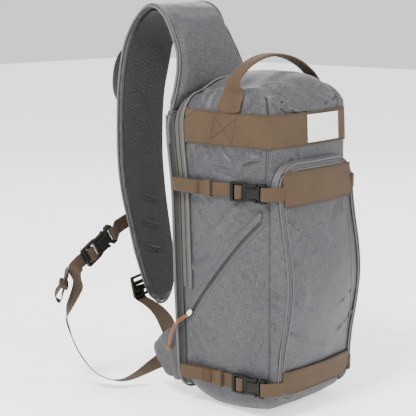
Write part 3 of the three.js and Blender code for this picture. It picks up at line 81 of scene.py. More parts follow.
class Value:
    """One socket of a shader, with the arithmetic that its Math nodes do."""

    def __init__(self, paint: "Paint", socket: bpy.types.NodeSocket) -> None:
        """Keeps the socket and the material that it belongs to."""
        self.paint = paint
        self.socket = socket

    def _math(self, operation: str, *values: Any) -> "Value":
        """Adds one Math node on these values."""
        return self.paint.node("ShaderNodeMath", {"operation": operation}, list(values))

    def __add__(self, other: Any) -> "Value":
        """self + other."""
        return self._math("ADD", self, other)

    __radd__ = __add__

    def __sub__(self, other: Any) -> "Value":
        """self - other."""
        return self._math("SUBTRACT", self, other)

    def __rsub__(self, other: Any) -> "Value":
        """other - self."""
        return self._math("SUBTRACT", other, self)

    def __mul__(self, other: Any) -> "Value":
        """self * other."""
        return self._math("MULTIPLY", self, other)

    __rmul__ = __mul__

    def __truediv__(self, other: Any) -> "Value":
        """self / other."""
        return self._math("DIVIDE", self, other)

    def __rtruediv__(self, other: Any) -> "Value":
        """other / self."""
        return self._math("DIVIDE", other, self)

    def wave(self) -> "Value":
        """The sine of a value given in turns, from -1 to 1."""
        return self._math("SINE", self * math.tau)

    def part(self) -> "Value":
        """What is left of the value over whole numbers."""
        return self._math("FRACT", self)

    def size(self) -> "Value":
        """The value without its sign."""
        return self._math("ABSOLUTE", self)

    def most(self, other: Any) -> "Value":
        """The larger of two values."""
        return self._math("MAXIMUM", self, other)

    def step(self, low: float, high: float) -> "Value":
        """A smooth step from 0 at low to 1 at high.

        Args:
            low: where the step starts.
            high: where it ends; it may be below low.

        Returns:
            The stepped value.
        """
        if low > high:
            return 1 - self.step(high, low)
        settings = {"interpolation_type": "SMOOTHSTEP", "clamp": True}
        return self.paint.node("ShaderNodeMapRange", settings, [self, low, high, 0.0, 1.0])


class Paint:
    """A material and the nodes that make it."""

    def __init__(self, name: str) -> None:
        """Starts an empty material of this name."""
        self.material = bpy.data.materials.new(name)
        self.material.use_nodes = True
        self.tree = self.material.node_tree
        self.tree.nodes.clear()
        self.output = self.tree.nodes.new("ShaderNodeOutputMaterial")
        self.shader = self.tree.nodes.new("ShaderNodeBsdfPrincipled")
        self.tree.links.new(self.shader.outputs[0], self.output.inputs[0])

    def node(self, kind: str, settings: dict[str, Any], values: Any, out: int | str = 0) -> Value:
        """Adds a node.

        Args:
            kind: the node's type.
            settings: its settings, set before its sockets.
            values: numbers, vectors or Values for its sockets, in a list or by name.
            out: which of its outputs is handed back.

        Returns:
            The chosen output.
        """
        made = self.tree.nodes.new(kind)
        for key, value in settings.items():
            setattr(made, key, value)
        pairs = values.items() if isinstance(values, dict) else enumerate(values)
        for key, value in pairs:
            self.feed(made.inputs[key], value)
        return Value(self, made.outputs[out])

    def feed(self, socket: bpy.types.NodeSocket, value: Any) -> None:
        """Links a Value to a socket, or sets a number or vector on it.

        Args:
            socket: the socket.
            value: what it takes, or none to leave it.
        """
        if value is None:
            return
        if isinstance(value, Value):
            self.tree.links.new(value.socket, socket)
        else:
            socket.default_value = value

    def place(self, source: str = "Object") -> Value:
        """Coordinates of the surface, in metres: Object or UV."""
        return self.node("ShaderNodeTexCoord", {}, [], source)

    def parts(self, vector: Value) -> tuple[Value, Value, Value]:
        """The three numbers of a vector.

        Args:
            vector: the vector.

        Returns:
            Its x, y and z.
        """
        made = self.node("ShaderNodeSeparateXYZ", {}, [vector])
        outputs = made.socket.node.outputs
        return Value(self, outputs[0]), Value(self, outputs[1]), Value(self, outputs[2])

    def joined(self, x: Any, y: Any, z: Any = 0.0) -> Value:
        """A vector of three numbers."""
        return self.node("ShaderNodeCombineXYZ", {}, [x, y, z])

    def specks(self, vector: Value, scale: float, detail: float = 2.0, rough: float = 0.5) -> Value:
        """Soft noise from 0 to 1.

        Args:
            vector: where the noise is read.
            scale: how fine it is, in cells per metre.
            detail: how many finer layers it has.
            rough: how strong the finer layers are.

        Returns:
            The noise.
        """
        values = {"Vector": vector, "Scale": scale, "Detail": detail, "Roughness": rough}
        return self.node("ShaderNodeTexNoise", {}, values)

    def blend(self, share: Any, one: Any, other: Any) -> Value:
        """Mixes two colours.

        Args:
            share: how much of the second colour, from 0 to 1.
            one: the first colour, three numbers or a Value.
            other: the second colour.

        Returns:
            The mixed colour.
        """
        made = self.tree.nodes.new("ShaderNodeMix")
        made.data_type = "RGBA"
        self.feed(made.inputs[0], share)
        for index, colour in ((6, one), (7, other)):
            self.feed(made.inputs[index], colour if isinstance(colour, Value) else (*colour, 1.0))
        return Value(self, made.outputs[2])

    def bump(self, height: Value, depth: float, below: Value | None = None) -> Value:
        """A bumped normal.

        Args:
            height: the relief, from 0 to 1.
            depth: how deep it is, in metres.
            below: another bumped normal that this one adds to.

        Returns:
            The normal.
        """
        values = {"Height": height, "Distance": depth, "Strength": 1.0}
        if below is not None:
            values["Normal"] = below
        return self.node("ShaderNodeBump", {}, values)

    def finish(self, **values: Any) -> bpy.types.Material:
        """Sets the shader's sockets by name, with spaces written as underscores."""
        for key, value in values.items():
            socket = self.shader.inputs[key.replace("_", " ")]
            if key.endswith("Color") and not isinstance(value, Value):
                value = (*value, 1.0)
            self.feed(socket, value)
        return self.material


@dataclass(frozen=True)
class RipstopCloth:
    """Heathered cloth with a fine grid of thicker threads, read from the piece's own UV map, and broad random
    patches of painted shade in a bluish tint.
    """

    name: str
    light: Colour
    dark: Colour
    # the bluish tint of painted shade that the broad patches take
    shade: Colour
    grid: float = 4.4 * MM
    thread: float = 0.55 * MM

    def make(self) -> bpy.types.Material:
        """Builds the material."""
        paint = Paint(self.name)
        along, across, _ = paint.parts(paint.place("UV"))
        place = paint.place()
        warp = paint.specks(paint.joined(along / self.thread, across / (22 * self.thread)), 1.0, 1.0)
        weft = paint.specks(paint.joined(across / self.thread, along / (22 * self.thread)), 1.0, 1.0)
        heather = ((warp + weft) * 0.5).step(0.34, 0.66)
        lines = [((v / self.grid).part() - 0.5).size().step(0.40, 0.48) for v in (along, across)]
        grid = lines[0].most(lines[1])
        # broad random patches of painted shade
        wear_and_painted_shade = paint.specks(place, 9.0, 3.0).step(0.35, 0.7)
        weave = paint.blend(heather, self.dark, self.light)
        weave = paint.blend(grid * 0.5, weave, self.dark)
        # mixes the painted bluish shade into the weave in those patches
        colour = paint.blend(wear_and_painted_shade * 0.16, weave, self.shade)
        threads = (along / (2 * self.thread)).wave() * (across / (2 * self.thread)).wave()
        normal = paint.bump(threads * 0.3 + grid * 0.8 + heather * 0.4, 0.10 * MM)
        crumple = paint.specks(place, 45.0, 2.0, 0.5)
        normal = paint.bump(crumple, 0.4 * MM, normal)
        return paint.finish(
            Base_Color=colour, Roughness=0.44 + heather * 0.16, Normal=normal,
            Sheen_Weight=0.03, Sheen_Roughness=0.4, Specular_IOR_Level=0.42,
        )


@dataclass(frozen=True)
class WebbingWeave:
    """Ribbed nylon webbing: U runs along the strap and V across it, both in metres."""

    name: str
    light: Colour
    dark: Colour
    rib: float = 1.5 * MM
    pick: float = 1.3 * MM

    def make(self) -> bpy.types.Material:
        """Builds the material."""
        paint = Paint(self.name)
        along, across, _ = paint.parts(paint.place("UV"))
        place = paint.place()
        lean = ((across / (2 * self.rib)).part() - 0.5).size() * 2
        twill = (along / self.pick + lean).wave() * 0.5 + 0.5
        ribs = (across / self.rib).wave() * 0.5 + 0.5
        fuzz = paint.specks(paint.joined(along * 900, across * 2600), 1.0, 2.0)
        tone = paint.specks(place, 26.0, 3.0).step(0.3, 0.72)
        weave = (twill * 0.35 + ribs * 0.3 + fuzz * 0.6).step(0.25, 1.0)
        colour = paint.blend(weave, self.dark, self.light)
        colour = paint.blend(tone * 0.28, colour, self.dark)
        normal = paint.bump(twill * 0.5 + ribs * 0.5 + fuzz * 0.3, 0.16 * MM)
        return paint.finish(
            Base_Color=colour, Roughness=0.70 + fuzz * 0.16, Normal=normal,
            Sheen_Weight=0.03, Sheen_Roughness=0.5, Specular_IOR_Level=0.3,
        )


@dataclass(frozen=True)
class SpacerMesh:
    """Black spacer mesh: small round eyes in rows, each row set half an eye aside."""

    name: str
    thread: Colour
    eye: Colour
    pitch: float = 3.8 * MM

    def make(self) -> bpy.types.Material:
        """Builds the material."""
        paint = Paint(self.name)
        along, across, _ = paint.parts(paint.place("UV"))
        holes = None
        for shift in (0.0, 0.5):
            u = ((along / self.pitch + shift).part() - 0.5).size()
            v = ((across / (self.pitch * 0.9) + shift).part() - 0.5).size()
            eye = (u * u + v * v).step(0.075, 0.03)
            holes = eye if holes is None else holes.most(eye)
        fuzz = paint.specks(paint.joined(along * 1500, across * 1500), 1.0, 2.0)
        colour = paint.blend(holes, paint.blend(fuzz, self.eye, self.thread), self.eye)
        normal = paint.bump(fuzz * 0.25 - holes, 0.5 * MM)
        return paint.finish(
            Base_Color=colour, Roughness=0.74 + holes * 0.2, Normal=normal,
            Sheen_Weight=0.12, Sheen_Roughness=0.5,
        )


@dataclass(frozen=True)
class TapeWeave:
    """Fine cloth of pipings, zip tapes and labels, with a slanting rib on the piece's own UV map."""

    name: str
    light: Colour
    dark: Colour
    rib: float = 0.9 * MM
    slant: float = 0.5
    roughness: float = 0.72

    def make(self) -> bpy.types.Material:
        """Builds the material."""
        paint = Paint(self.name)
        along, across, _ = paint.parts(paint.place("UV"))
        place = paint.place()
        ribs = ((along + across * self.slant) / self.rib).wave() * 0.5 + 0.5
        fuzz = paint.specks(place, 1400.0, 2.0)
        tone = paint.specks(place, 40.0, 2.0)
        colour = paint.blend((ribs * 0.4 + fuzz * 0.5).step(0.1, 0.9), self.dark, self.light)
        colour = paint.blend(tone * 0.3, colour, self.dark)
        normal = paint.bump(ribs * 0.6 + fuzz * 0.4, 0.10 * MM)
        return paint.finish(
            Base_Color=colour, Roughness=self.roughness + fuzz * 0.1, Normal=normal,
            Sheen_Weight=0.12,
        )


@dataclass(frozen=True)
class MouldedPlastic:
    """Satin moulded plastic with a fine grain and paler scuffs in random patches."""

    name: str
    colour: Colour
    wear_and_painted_shade: Colour
    roughness: float = 0.42

    def make(self) -> bpy.types.Material:
        """Builds the material."""
        paint = Paint(self.name)
        place = paint.place()
        grain = paint.specks(place, 2600.0, 2.0)
        scuff = paint.specks(place, 160.0, 4.0, 0.7).step(0.52, 0.75)
        colour = paint.blend(scuff * 0.45, self.colour, self.wear_and_painted_shade)
        normal = paint.bump(grain, 0.05 * MM)
        return paint.finish(
            Base_Color=colour, Roughness=self.roughness + scuff * 0.2 + grain * 0.08, Normal=normal,
            Specular_IOR_Level=0.18,
        )


@dataclass(frozen=True)
class CastMetal:
    """Bright cast metal with fine brushing."""

    name: str
    colour: Colour

    def make(self) -> bpy.types.Material:
        """Builds the material."""
        paint = Paint(self.name)
        x, y, z = paint.parts(paint.place())
        brush = paint.specks(paint.joined(x * 3000, y * 3000, z * 400), 1.0, 2.0)
        normal = paint.bump(brush, 0.03 * MM)
        return paint.finish(
            Base_Color=self.colour, Metallic=1.0, Roughness=0.26 + brush * 0.16, Normal=normal,
        )


@dataclass(frozen=True)
class BraidedCord:
    """Braided cord with a dark fleck, on its own UV map: U along it and V round it, in turns."""

    name: str
    light: Colour
    dark: Colour
    fleck: Colour
    pick: float = 1.1 * MM

    def make(self) -> bpy.types.Material:
        """Builds the material."""
        paint = Paint(self.name)
        along, turn, _ = paint.parts(paint.place("UV"))
        one = (along / self.pick + turn * 3).wave() * 0.5 + 0.5
        two = (along / self.pick - turn * 3).wave() * 0.5 + 0.5
        braid = one * two
        colour = paint.blend(braid.step(0.0, 0.5), self.dark, self.light)
        flecks = paint.specks(paint.joined(along / (2 * self.pick), turn * 4), 1.0, 1.0)
        colour = paint.blend(flecks.step(0.66, 0.74), colour, self.fleck)
        normal = paint.bump(braid, 0.22 * MM)
        return paint.finish(Base_Color=colour, Roughness=0.66, Normal=normal, Sheen_Weight=0.2)


class Finish(Enum):
    """The finishes of the pack, each with the record's slot that it stands for."""

    CLOTH = "cloth"
    MESH = "mesh"
    PIPING = "piping"
    ZIP_TAPE = "zip_tape"
    WEBBING = "webbing"
    BUCKLE = "buckle"
    LABEL = "label"
    SLIDER = "slider"
    CORD = "cord"


class Palette:
    """Makes each material once and gives it to the pieces."""

    def __init__(self) -> None:
        """Builds every finish."""
        made = {
            # the grey ripstop's third colour is its bluish tint of painted shade
            Finish.CLOTH: RipstopCloth(
                "grey_ripstop", (0.076, 0.075, 0.074), (0.015, 0.015, 0.021), (0.018, 0.017, 0.034),
            ),
            Finish.WEBBING: WebbingWeave("brown_webbing", (0.084, 0.050, 0.024), (0.028, 0.016, 0.007)),
            Finish.MESH: SpacerMesh("black_spacer_mesh", (0.026, 0.025, 0.027), (0.002, 0.002, 0.002)),
            Finish.PIPING: TapeWeave("grey_piping", (0.115, 0.112, 0.104), (0.050, 0.048, 0.044)),
            Finish.ZIP_TAPE: TapeWeave(
                "olive_zip_tape", (0.068, 0.066, 0.055), (0.030, 0.029, 0.024), 1.1 * MM, 0.0,
            ),
            Finish.BUCKLE: MouldedPlastic(
                "dark_moulded_plastic", (0.005, 0.0055, 0.004), (0.014, 0.015, 0.012),
            ),
            Finish.LABEL: TapeWeave(
                "white_label", (0.84, 0.84, 0.82), (0.66, 0.66, 0.64), 0.5 * MM, 1.0, 0.6,
            ),
            Finish.SLIDER: CastMetal("bright_cast_metal", (0.72, 0.72, 0.70)),
            Finish.CORD: BraidedCord(
                "ochre_cord", (0.31, 0.105, 0.003), (0.10, 0.028, 0.001), (0.03, 0.02, 0.012),
            ),
        }
        self.materials = {key: kind.make() for key, kind in made.items()}
        self.thread, self.pale_thread, self.grey_thread = (
            TapeWeave(name, light, dark, 0.4 * MM, 1.0).make()
            for name, light, dark in (
                ("dark_thread", (0.016, 0.008, 0.004), (0.007, 0.004, 0.002)),
                ("pale_thread", (0.17, 0.165, 0.155), (0.10, 0.097, 0.09)),
                ("grey_thread", (0.015, 0.015, 0.017), (0.008, 0.008, 0.009)),
            )
        )
        self.tan_web, self.painted_shade_web = (
            WebbingWeave(name, light, dark).make()
            for name, light, dark in (
                # painted shade: a darker, more saturated copy of the webbing for the folded layer of each
                # side strap
                ("tan_webbing", (0.074, 0.036, 0.012), (0.024, 0.011, 0.004)),
                # painted shade: a darker copy of the webbing for the low straps round the stabilizer, which
                # hang in shadow
                ("painted_shade_webbing", (0.062, 0.038, 0.019), (0.022, 0.013, 0.007)),
            )
        )
        # painted shadow: a near-black material for cords laid where seams, slots, gaps and the keepers' edges
        # sink into shade
        self.shadow = TapeWeave(
            "painted_shadow_seam", (0.007, 0.007, 0.008), (0.004, 0.004, 0.004), 0.6 * MM, 0.4,
        ).make()

    def dress(self, piece: bpy.types.Object, finish: Finish, *nodes: str,
              material: bpy.types.Material | None = None) -> bpy.types.Object:
        """Gives a piece its material and its body, and hides the nodes that it stands for.

        Args:
            piece: the object.
            finish: the record's slot.
            nodes: the nodes that it replaces.
            material: what it is made of, the slot's own material when left out.

        Returns:
            The piece.
        """
        piece.data.materials.clear()
        piece.data.materials.append(material or self.materials[finish])
        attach(piece, BODY)
        if nodes:
            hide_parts(*nodes)
        LOG.info("%s: %d faces", piece.name, len(piece.data.polygons))
        return piece


# Mesh work

def take(piece: bpy.types.Object) -> None:
    """Makes a piece the only one selected, and the active one.

    Args:
        piece: the object.
    """
    bpy.ops.object.select_all(action="DESELECT")
    piece.select_set(True)
    bpy.context.view_layer.objects.active = piece


def edit(piece: bpy.types.Object, *steps: Callable[[], Any]) -> None:
    """Runs edit-mode steps on a whole piece.

    Args:
        piece: the object.
        steps: calls that each use one mesh operator on what is selected.
    """
    take(piece)
    bpy.ops.object.mode_set(mode="EDIT")
    bpy.ops.mesh.select_all(action="SELECT")
    for step in steps:
        step()
    bpy.ops.object.mode_set(mode="OBJECT")


def applied(piece: bpy.types.Object, kind: str, **settings: Any) -> None:
    """Adds a modifier with these settings and applies it.

    Args:
        piece: the object.
        kind: the modifier's type.
        settings: its settings by name.
    """
    take(piece)
    modifier = piece.modifiers.new(kind.lower(), kind)
    for key, value in settings.items():
        setattr(modifier, key, value)
    bpy.ops.object.modifier_apply(modifier=modifier.name)


def points(piece: bpy.types.Object) -> np.ndarray:
    """The piece's points, one row each.

    Args:
        piece: the object.

    Returns:
        A row of three for each point.
    """
    flat = np.empty(len(piece.data.vertices) * 3)
    piece.data.vertices.foreach_get("co", flat)
    return flat.reshape(-1, 3)


def directions(piece: bpy.types.Object) -> np.ndarray:
    """The normals at the piece's points.

    Args:
        piece: the object.

    Returns:
        A row of three for each point.
    """
    flat = np.empty(len(piece.data.vertices) * 3)
    piece.data.vertices.foreach_get("normal", flat)
    return flat.reshape(-1, 3)


def move_points(piece: bpy.types.Object, places: np.ndarray) -> None:
    """Puts the piece's points at these places."""
    piece.data.vertices.foreach_set("co", np.ascontiguousarray(places, dtype=np.float32).ravel())
    piece.data.update()


def mesh_piece(name: str, places: np.ndarray, faces: Iterable[Sequence[int]]) -> bpy.types.Object:
    """A new piece of these points and faces.

    Args:
        name: the piece's name.
        places: the points.
        faces: the points of each face.

    Returns:
        The piece.
    """
    mesh = bpy.data.meshes.new(name)
    mesh.from_pydata(np.asarray(places).tolist(), [], [list(map(int, face)) for face in faces])
    piece = bpy.data.objects.new(name, mesh)
    bpy.context.scene.collection.objects.link(piece)
    return piece


def copy_of(node: str, name: str) -> bpy.types.Object:
    """A copy of a node's mesh, with its loose triangles merged into quads.

    Args:
        node: the node.
        name: the piece's name.

    Returns:
        The copy.
    """
    piece = bpy.data.objects.new(name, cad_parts[node].data.copy())
    piece.data.name = name
    piece.data.materials.clear()
    bpy.context.scene.collection.objects.link(piece)
    edit(
        piece,
        lambda: bpy.ops.mesh.remove_doubles(threshold=WELD),
        lambda: bpy.ops.mesh.tris_convert_to_quads(face_threshold=ANY_ANGLE, shape_threshold=ANY_ANGLE),
    )
    if piece.data.has_custom_normals:
        bpy.ops.mesh.customdata_custom_splitnormals_clear()
    for layer in list(piece.data.uv_layers):
        piece.data.uv_layers.remove(layer)
    return piece


def smooth(piece: bpy.types.Object, angle: float | None = None) -> None:
    """Smooth shading, all over or up to an angle in degrees.

    Args:
        piece: the object.
        angle: the angle, or none to smooth every edge.
    """
    take(piece)
    if angle is None:
        bpy.ops.object.shade_smooth()
    else:
        bpy.ops.object.shade_smooth_by_angle(angle=math.radians(angle))


def smooth_through(piece: bpy.types.Object, levels: int, limit: float = 4 * MM) -> None:
    """Subdivides a piece so that its smooth surface still runs through its own points.

    Args:
        piece: the object.
        levels: how many times it is subdivided.
        limit: how far a point may be moved to bring the surface back.
    """
    aim = points(piece)
    cage = aim.copy()
    for _ in range(3):
        modifier = piece.modifiers.new("trial", "SUBSURF")
        modifier.levels = modifier.render_levels = 2
        depsgraph = bpy.context.evaluated_depsgraph_get()
        trial = piece.evaluated_get(depsgraph)
        reached = points(trial)[: len(aim)]
        piece.modifiers.remove(modifier)
        cage += 0.85 * (aim - reached)
        away = cage - aim
        length = np.linalg.norm(away, axis=1, keepdims=True)
        cage = aim + away * np.minimum(1, limit / np.maximum(length, 1e-9))
        move_points(piece, cage)
    applied(piece, "SUBSURF", levels=levels, render_levels=levels)


def write_uv(piece: bpy.types.Object, per_corner: np.ndarray) -> None:
    """Writes the piece's UV map, a pair of metres for each corner of each face."""
    layer = piece.data.uv_layers.new(name="weave")
    layer.data.foreach_set("uv", np.ascontiguousarray(per_corner, dtype=np.float32).ravel())


def panel_uv(piece: bpy.types.Object) -> None:
    """A UV map in panels: each face reads the two axes that it faces least.

    Args:
        piece: the object.
    """
    mesh = piece.data
    count = len(mesh.loops)
    corner = np.empty(count, dtype=np.int64)
    mesh.loops.foreach_get("vertex_index", corner)
    normals = np.empty(len(mesh.polygons) * 3)
    mesh.polygons.foreach_get("normal", normals)
    sizes = np.empty(len(mesh.polygons), dtype=np.int64)
    mesh.polygons.foreach_get("loop_total", sizes)
    facing = np.abs(normals.reshape(-1, 3)) * np.array([1.0, 1.0, 0.9])
    facing = np.repeat(facing.argmax(1), sizes)
    place = points(piece)[corner]
    pairs = np.array([[1, 2], [0, 2], [0, 1]])[facing]
    write_uv(piece, np.take_along_axis(place, pairs, 1))


def soften(piece: bpy.types.Object, reach: float, depth: float, seed: float,
           axis: Point = (1, 1, 1)) -> None:
    """Gives a piece the unevenness of cloth.

    Args:
        piece: the object.
        reach: how wide the unevenness is, in metres.
        depth: how deep it is.
        seed: where in the noise it is read.
        axis: how much it is squeezed along each axis.
    """
    places, out = points(piece), directions(piece)
    squeeze = np.asarray(axis, dtype=float) / reach
    offset = Vector((seed, seed * 1.7, -seed))
    lift = np.array([noise.noise(Vector(p * squeeze) + offset) for p in places])
    move_points(piece, places + out * (lift * depth)[:, None])


def rounded_copy(node: str, name: str, levels: int, limit: float = 4 * MM) -> bpy.types.Object:
    """A smooth copy of a node, with a UV map in panels.

    Args:
        node: the node.
        name: the piece's name.
        levels: how many times it is subdivided.
        limit: how far a point may be moved.

    Returns:
        The piece.
    """
    piece = copy_of(node, name)
    smooth_through(piece, levels, limit)
    panel_uv(piece)
    smooth(piece)
    return piece


def bevelled(node: str, name: str, radius: float, angle: float) -> bpy.types.Object:
    """A copy of a rigid node, its edges sharper than an angle in degrees rounded to a radius.

    Args:
        node: the node.
        name: the piece's name.
        radius: the radius.
        angle: the angle.

    Returns:
        The piece.
    """
    piece = copy_of(node, name)
    applied(piece, "BEVEL", width=radius, segments=3, limit_method="ANGLE", angle_limit=math.radians(angle))
    panel_uv(piece)
    smooth(piece, angle)
    return piece


def node_tree(node: str) -> BVHTree:
    """A search tree of a node's faces."""
    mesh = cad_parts[node].data
    return BVHTree.FromPolygons([v.co for v in mesh.vertices], [f.vertices for f in mesh.polygons])


# Paths and straps

def unit(vectors: np.ndarray) -> np.ndarray:
    """Vectors brought to length one."""
    return vectors / np.maximum(np.linalg.norm(vectors, axis=-1, keepdims=True), 1e-9)


def run_of(path: np.ndarray) -> np.ndarray:
    """How far along a path each of its places is."""
    return np.concatenate([[0.0], np.linalg.norm(np.diff(path, axis=0), axis=1).cumsum()])


def cubic(k: Sequence[np.ndarray], t: np.ndarray) -> np.ndarray:
    """A smooth curve's place between the middle two of four knots."""
    return 0.5 * (2 * k[1] + (k[2] - k[0]) * t + (2 * k[0] - 5 * k[1] + 4 * k[2] - k[3]) * t ** 2
                  + (3 * k[1] - k[0] - 3 * k[2] + k[3]) * t ** 3)


def spline(knots: np.ndarray, at: np.ndarray) -> np.ndarray:
    """A smooth curve through knots, read at positions counted in knots.

    Args:
        knots: the knots.
        at: the positions.

    Returns:
        One place for each position.
    """
    last = len(knots) - 1
    low = np.clip(np.floor(at).astype(int), 0, last - 1)
    t = (at - low).reshape(-1, *([1] * (knots.ndim - 1)))
    return cubic([knots[np.clip(low + i, 0, last)] for i in (-1, 0, 1, 2)], t)


def curve(knots: np.ndarray, count: int) -> np.ndarray:
    """A smooth path through knots, in this many places."""
    return spline(knots, np.linspace(0, len(knots) - 1, count))


def along_and_across(places: np.ndarray, middle: np.ndarray, side: np.ndarray) -> np.ndarray:
    """For each place, metres along a strap and across it.

    Args:
        places: the places.
        middle: the strap's middle line.
        side: the way across the strap at each place of that line.

    Returns:
        A pair for each place.
    """
    side, way, run = unit(side), unit(np.gradient(middle, axis=0)), run_of(middle)
    found = np.empty((len(places), 2))
    for first in range(0, len(places), BATCH):
        part = places[first:first + BATCH]
        near = np.linalg.norm(part[:, None] - middle[None], axis=2).argmin(1)
        off = part - middle[near]
        found[first:first + BATCH] = np.stack(
            [run[near] + (off * way[near]).sum(1), (off * side[near]).sum(1)], 1)
    return found


def node_rings(node: str) -> np.ndarray:
    """The stations of a long node, from one end to the other.

    Args:
        node: the node, a strap or a pad with as many points at each station.

    Returns:
        Points by station and by place in it: the first half one face, the second half the other, back again.
    """
    work = bmesh.new()
    work.from_mesh(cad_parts[node].data)
    bmesh.ops.remove_doubles(work, verts=work.verts, dist=WELD)
    places = np.array([v.co[:] for v in work.verts])
    near: list[set[int]] = [{e.other_vert(v).index for e in v.link_edges} for v in work.verts]
    bmesh.ops.join_triangles(
        work, faces=work.faces, angle_face_threshold=ANY_ANGLE, angle_shape_threshold=ANY_ANGLE
    )
    few = {v.index for v in work.verts if len(v.link_edges) == 3}
    flat = [[v.index for v in f.verts] for f in work.faces if len(f.verts) == 4]
    work.free()
    ends = [face for face in flat if few.issuperset(face)]
    cap = ends[0] if ends else _wide_end(places, sorted(few))
    rings, seen = [in_turn(places, cap)], set(cap)
    while True:
        following = sorted({n for i in rings[-1] for n in near[i]} - seen)
        if len(following) != len(cap):
            break
        seen.update(following)
        rings.append(matched(places, rings[-1], walked(near, following) or in_turn(places, following)))
    if not ends:
        rings[0] = nearest_each(places, rings[1], rings[0])
    found = places[np.array(rings)]
    gaps = np.linalg.norm(found - np.roll(found, -1, axis=1), axis=2).mean(0)
    half = len(cap) // 2
    start = min(range(half), key=lambda i: gaps[i] + gaps[i + half])
    return np.roll(found, -(start + 1), axis=1)


def _wide_end(places: np.ndarray, corners: list[int]) -> list[int]:
    """The points of one end, where it has more of them than its four corners.

    Args:
        places: every point of the node.
        corners: the corners of both ends.

    Returns:
        The points of one end.
    """
    spots = places[corners]
    apart = np.linalg.norm(spots[:, None] - spots[None], axis=2)
    one, other = np.unravel_index(apart.argmax(), apart.shape)
    near_one = apart[one] < apart[other]
    four = min((spots[near_one], spots[~near_one]), key=lambda end: np.ptp(end, axis=0).sum())
    four = four[in_turn(four, range(len(four)))]
    found = []
    for index, spot in enumerate(places):
        for a, b in zip(four, np.roll(four, -1, axis=0)):
            share = np.clip((spot - a) @ (b - a) / ((b - a) @ (b - a)), 0, 1)
            if np.linalg.norm(a + share * (b - a) - spot) < END_REACH:
                found.append(index)
                break
    return found


def in_turn(places: np.ndarray, found: Iterable[int]) -> list[int]:
    """These points in order round their middle.

    Args:
        places: every point of the node.
        found: the points to order.

    Returns:
        The points in order.
    """
    found = list(found)
    spots = places[found] - places[found].mean(0)
    spread = np.linalg.svd(spots)[2]
    size = np.maximum(np.abs(spots @ spread[:2].T).max(0), 1e-9)
    angle = np.arctan2((spots @ spread[1]) / size[1], (spots @ spread[0]) / size[0])
    return [found[i] for i in np.argsort(angle)]


def walked(near: list[set[int]], found: list[int]) -> list[int]:
    """A station's points in the order of the edges between them, or nothing where that isn't one ring.

    Args:
        near: each point's neighbours.
        found: the station's points.

    Returns:
        The points in order.
    """
    beside = {i: sorted(near[i] & set(found)) for i in found}
    if any(len(others) != 2 for others in beside.values()):
        return []
    order = [found[0], beside[found[0]][0]]
    while len(order) < len(found):
        order.append(next(i for i in beside[order[-1]] if i != order[-2]))
    return order


def nearest_each(places: np.ndarray, before: list[int], found: list[int]) -> list[int]:
    """A station's points, each chosen as the one that lies nearest to the last station's.

    Args:
        places: every point of the node.
        before: the last station's points.
        found: this station's points.

    Returns:
        The points, each in the place of the one before it.
    """
    shift = places[found].mean(0) - places[before].mean(0)
    left, chosen = list(found), []
    for index in before:
        best = min(left, key=lambda i: float(np.linalg.norm(places[i] - places[index] - shift)))
        left.remove(best)
        chosen.append(best)
    return chosen


def matched(places: np.ndarray, before: list[int], found: list[int]) -> list[int]:
    """A station's points, turned to go with the last one's.

    Args:
        places: every point of the node.
        before: the last station's points.
        found: this station's points, in order.

    Returns:
        The points, turned.
    """
    shift = places[found].mean(0) - places[before].mean(0)
    trials = [order[turn:] + order[:turn] for order in (found, found[::-1]) for turn in range(len(found))]
    return min(trials, key=lambda trial: np.linalg.norm(places[trial] - places[before] - shift, axis=1).sum())


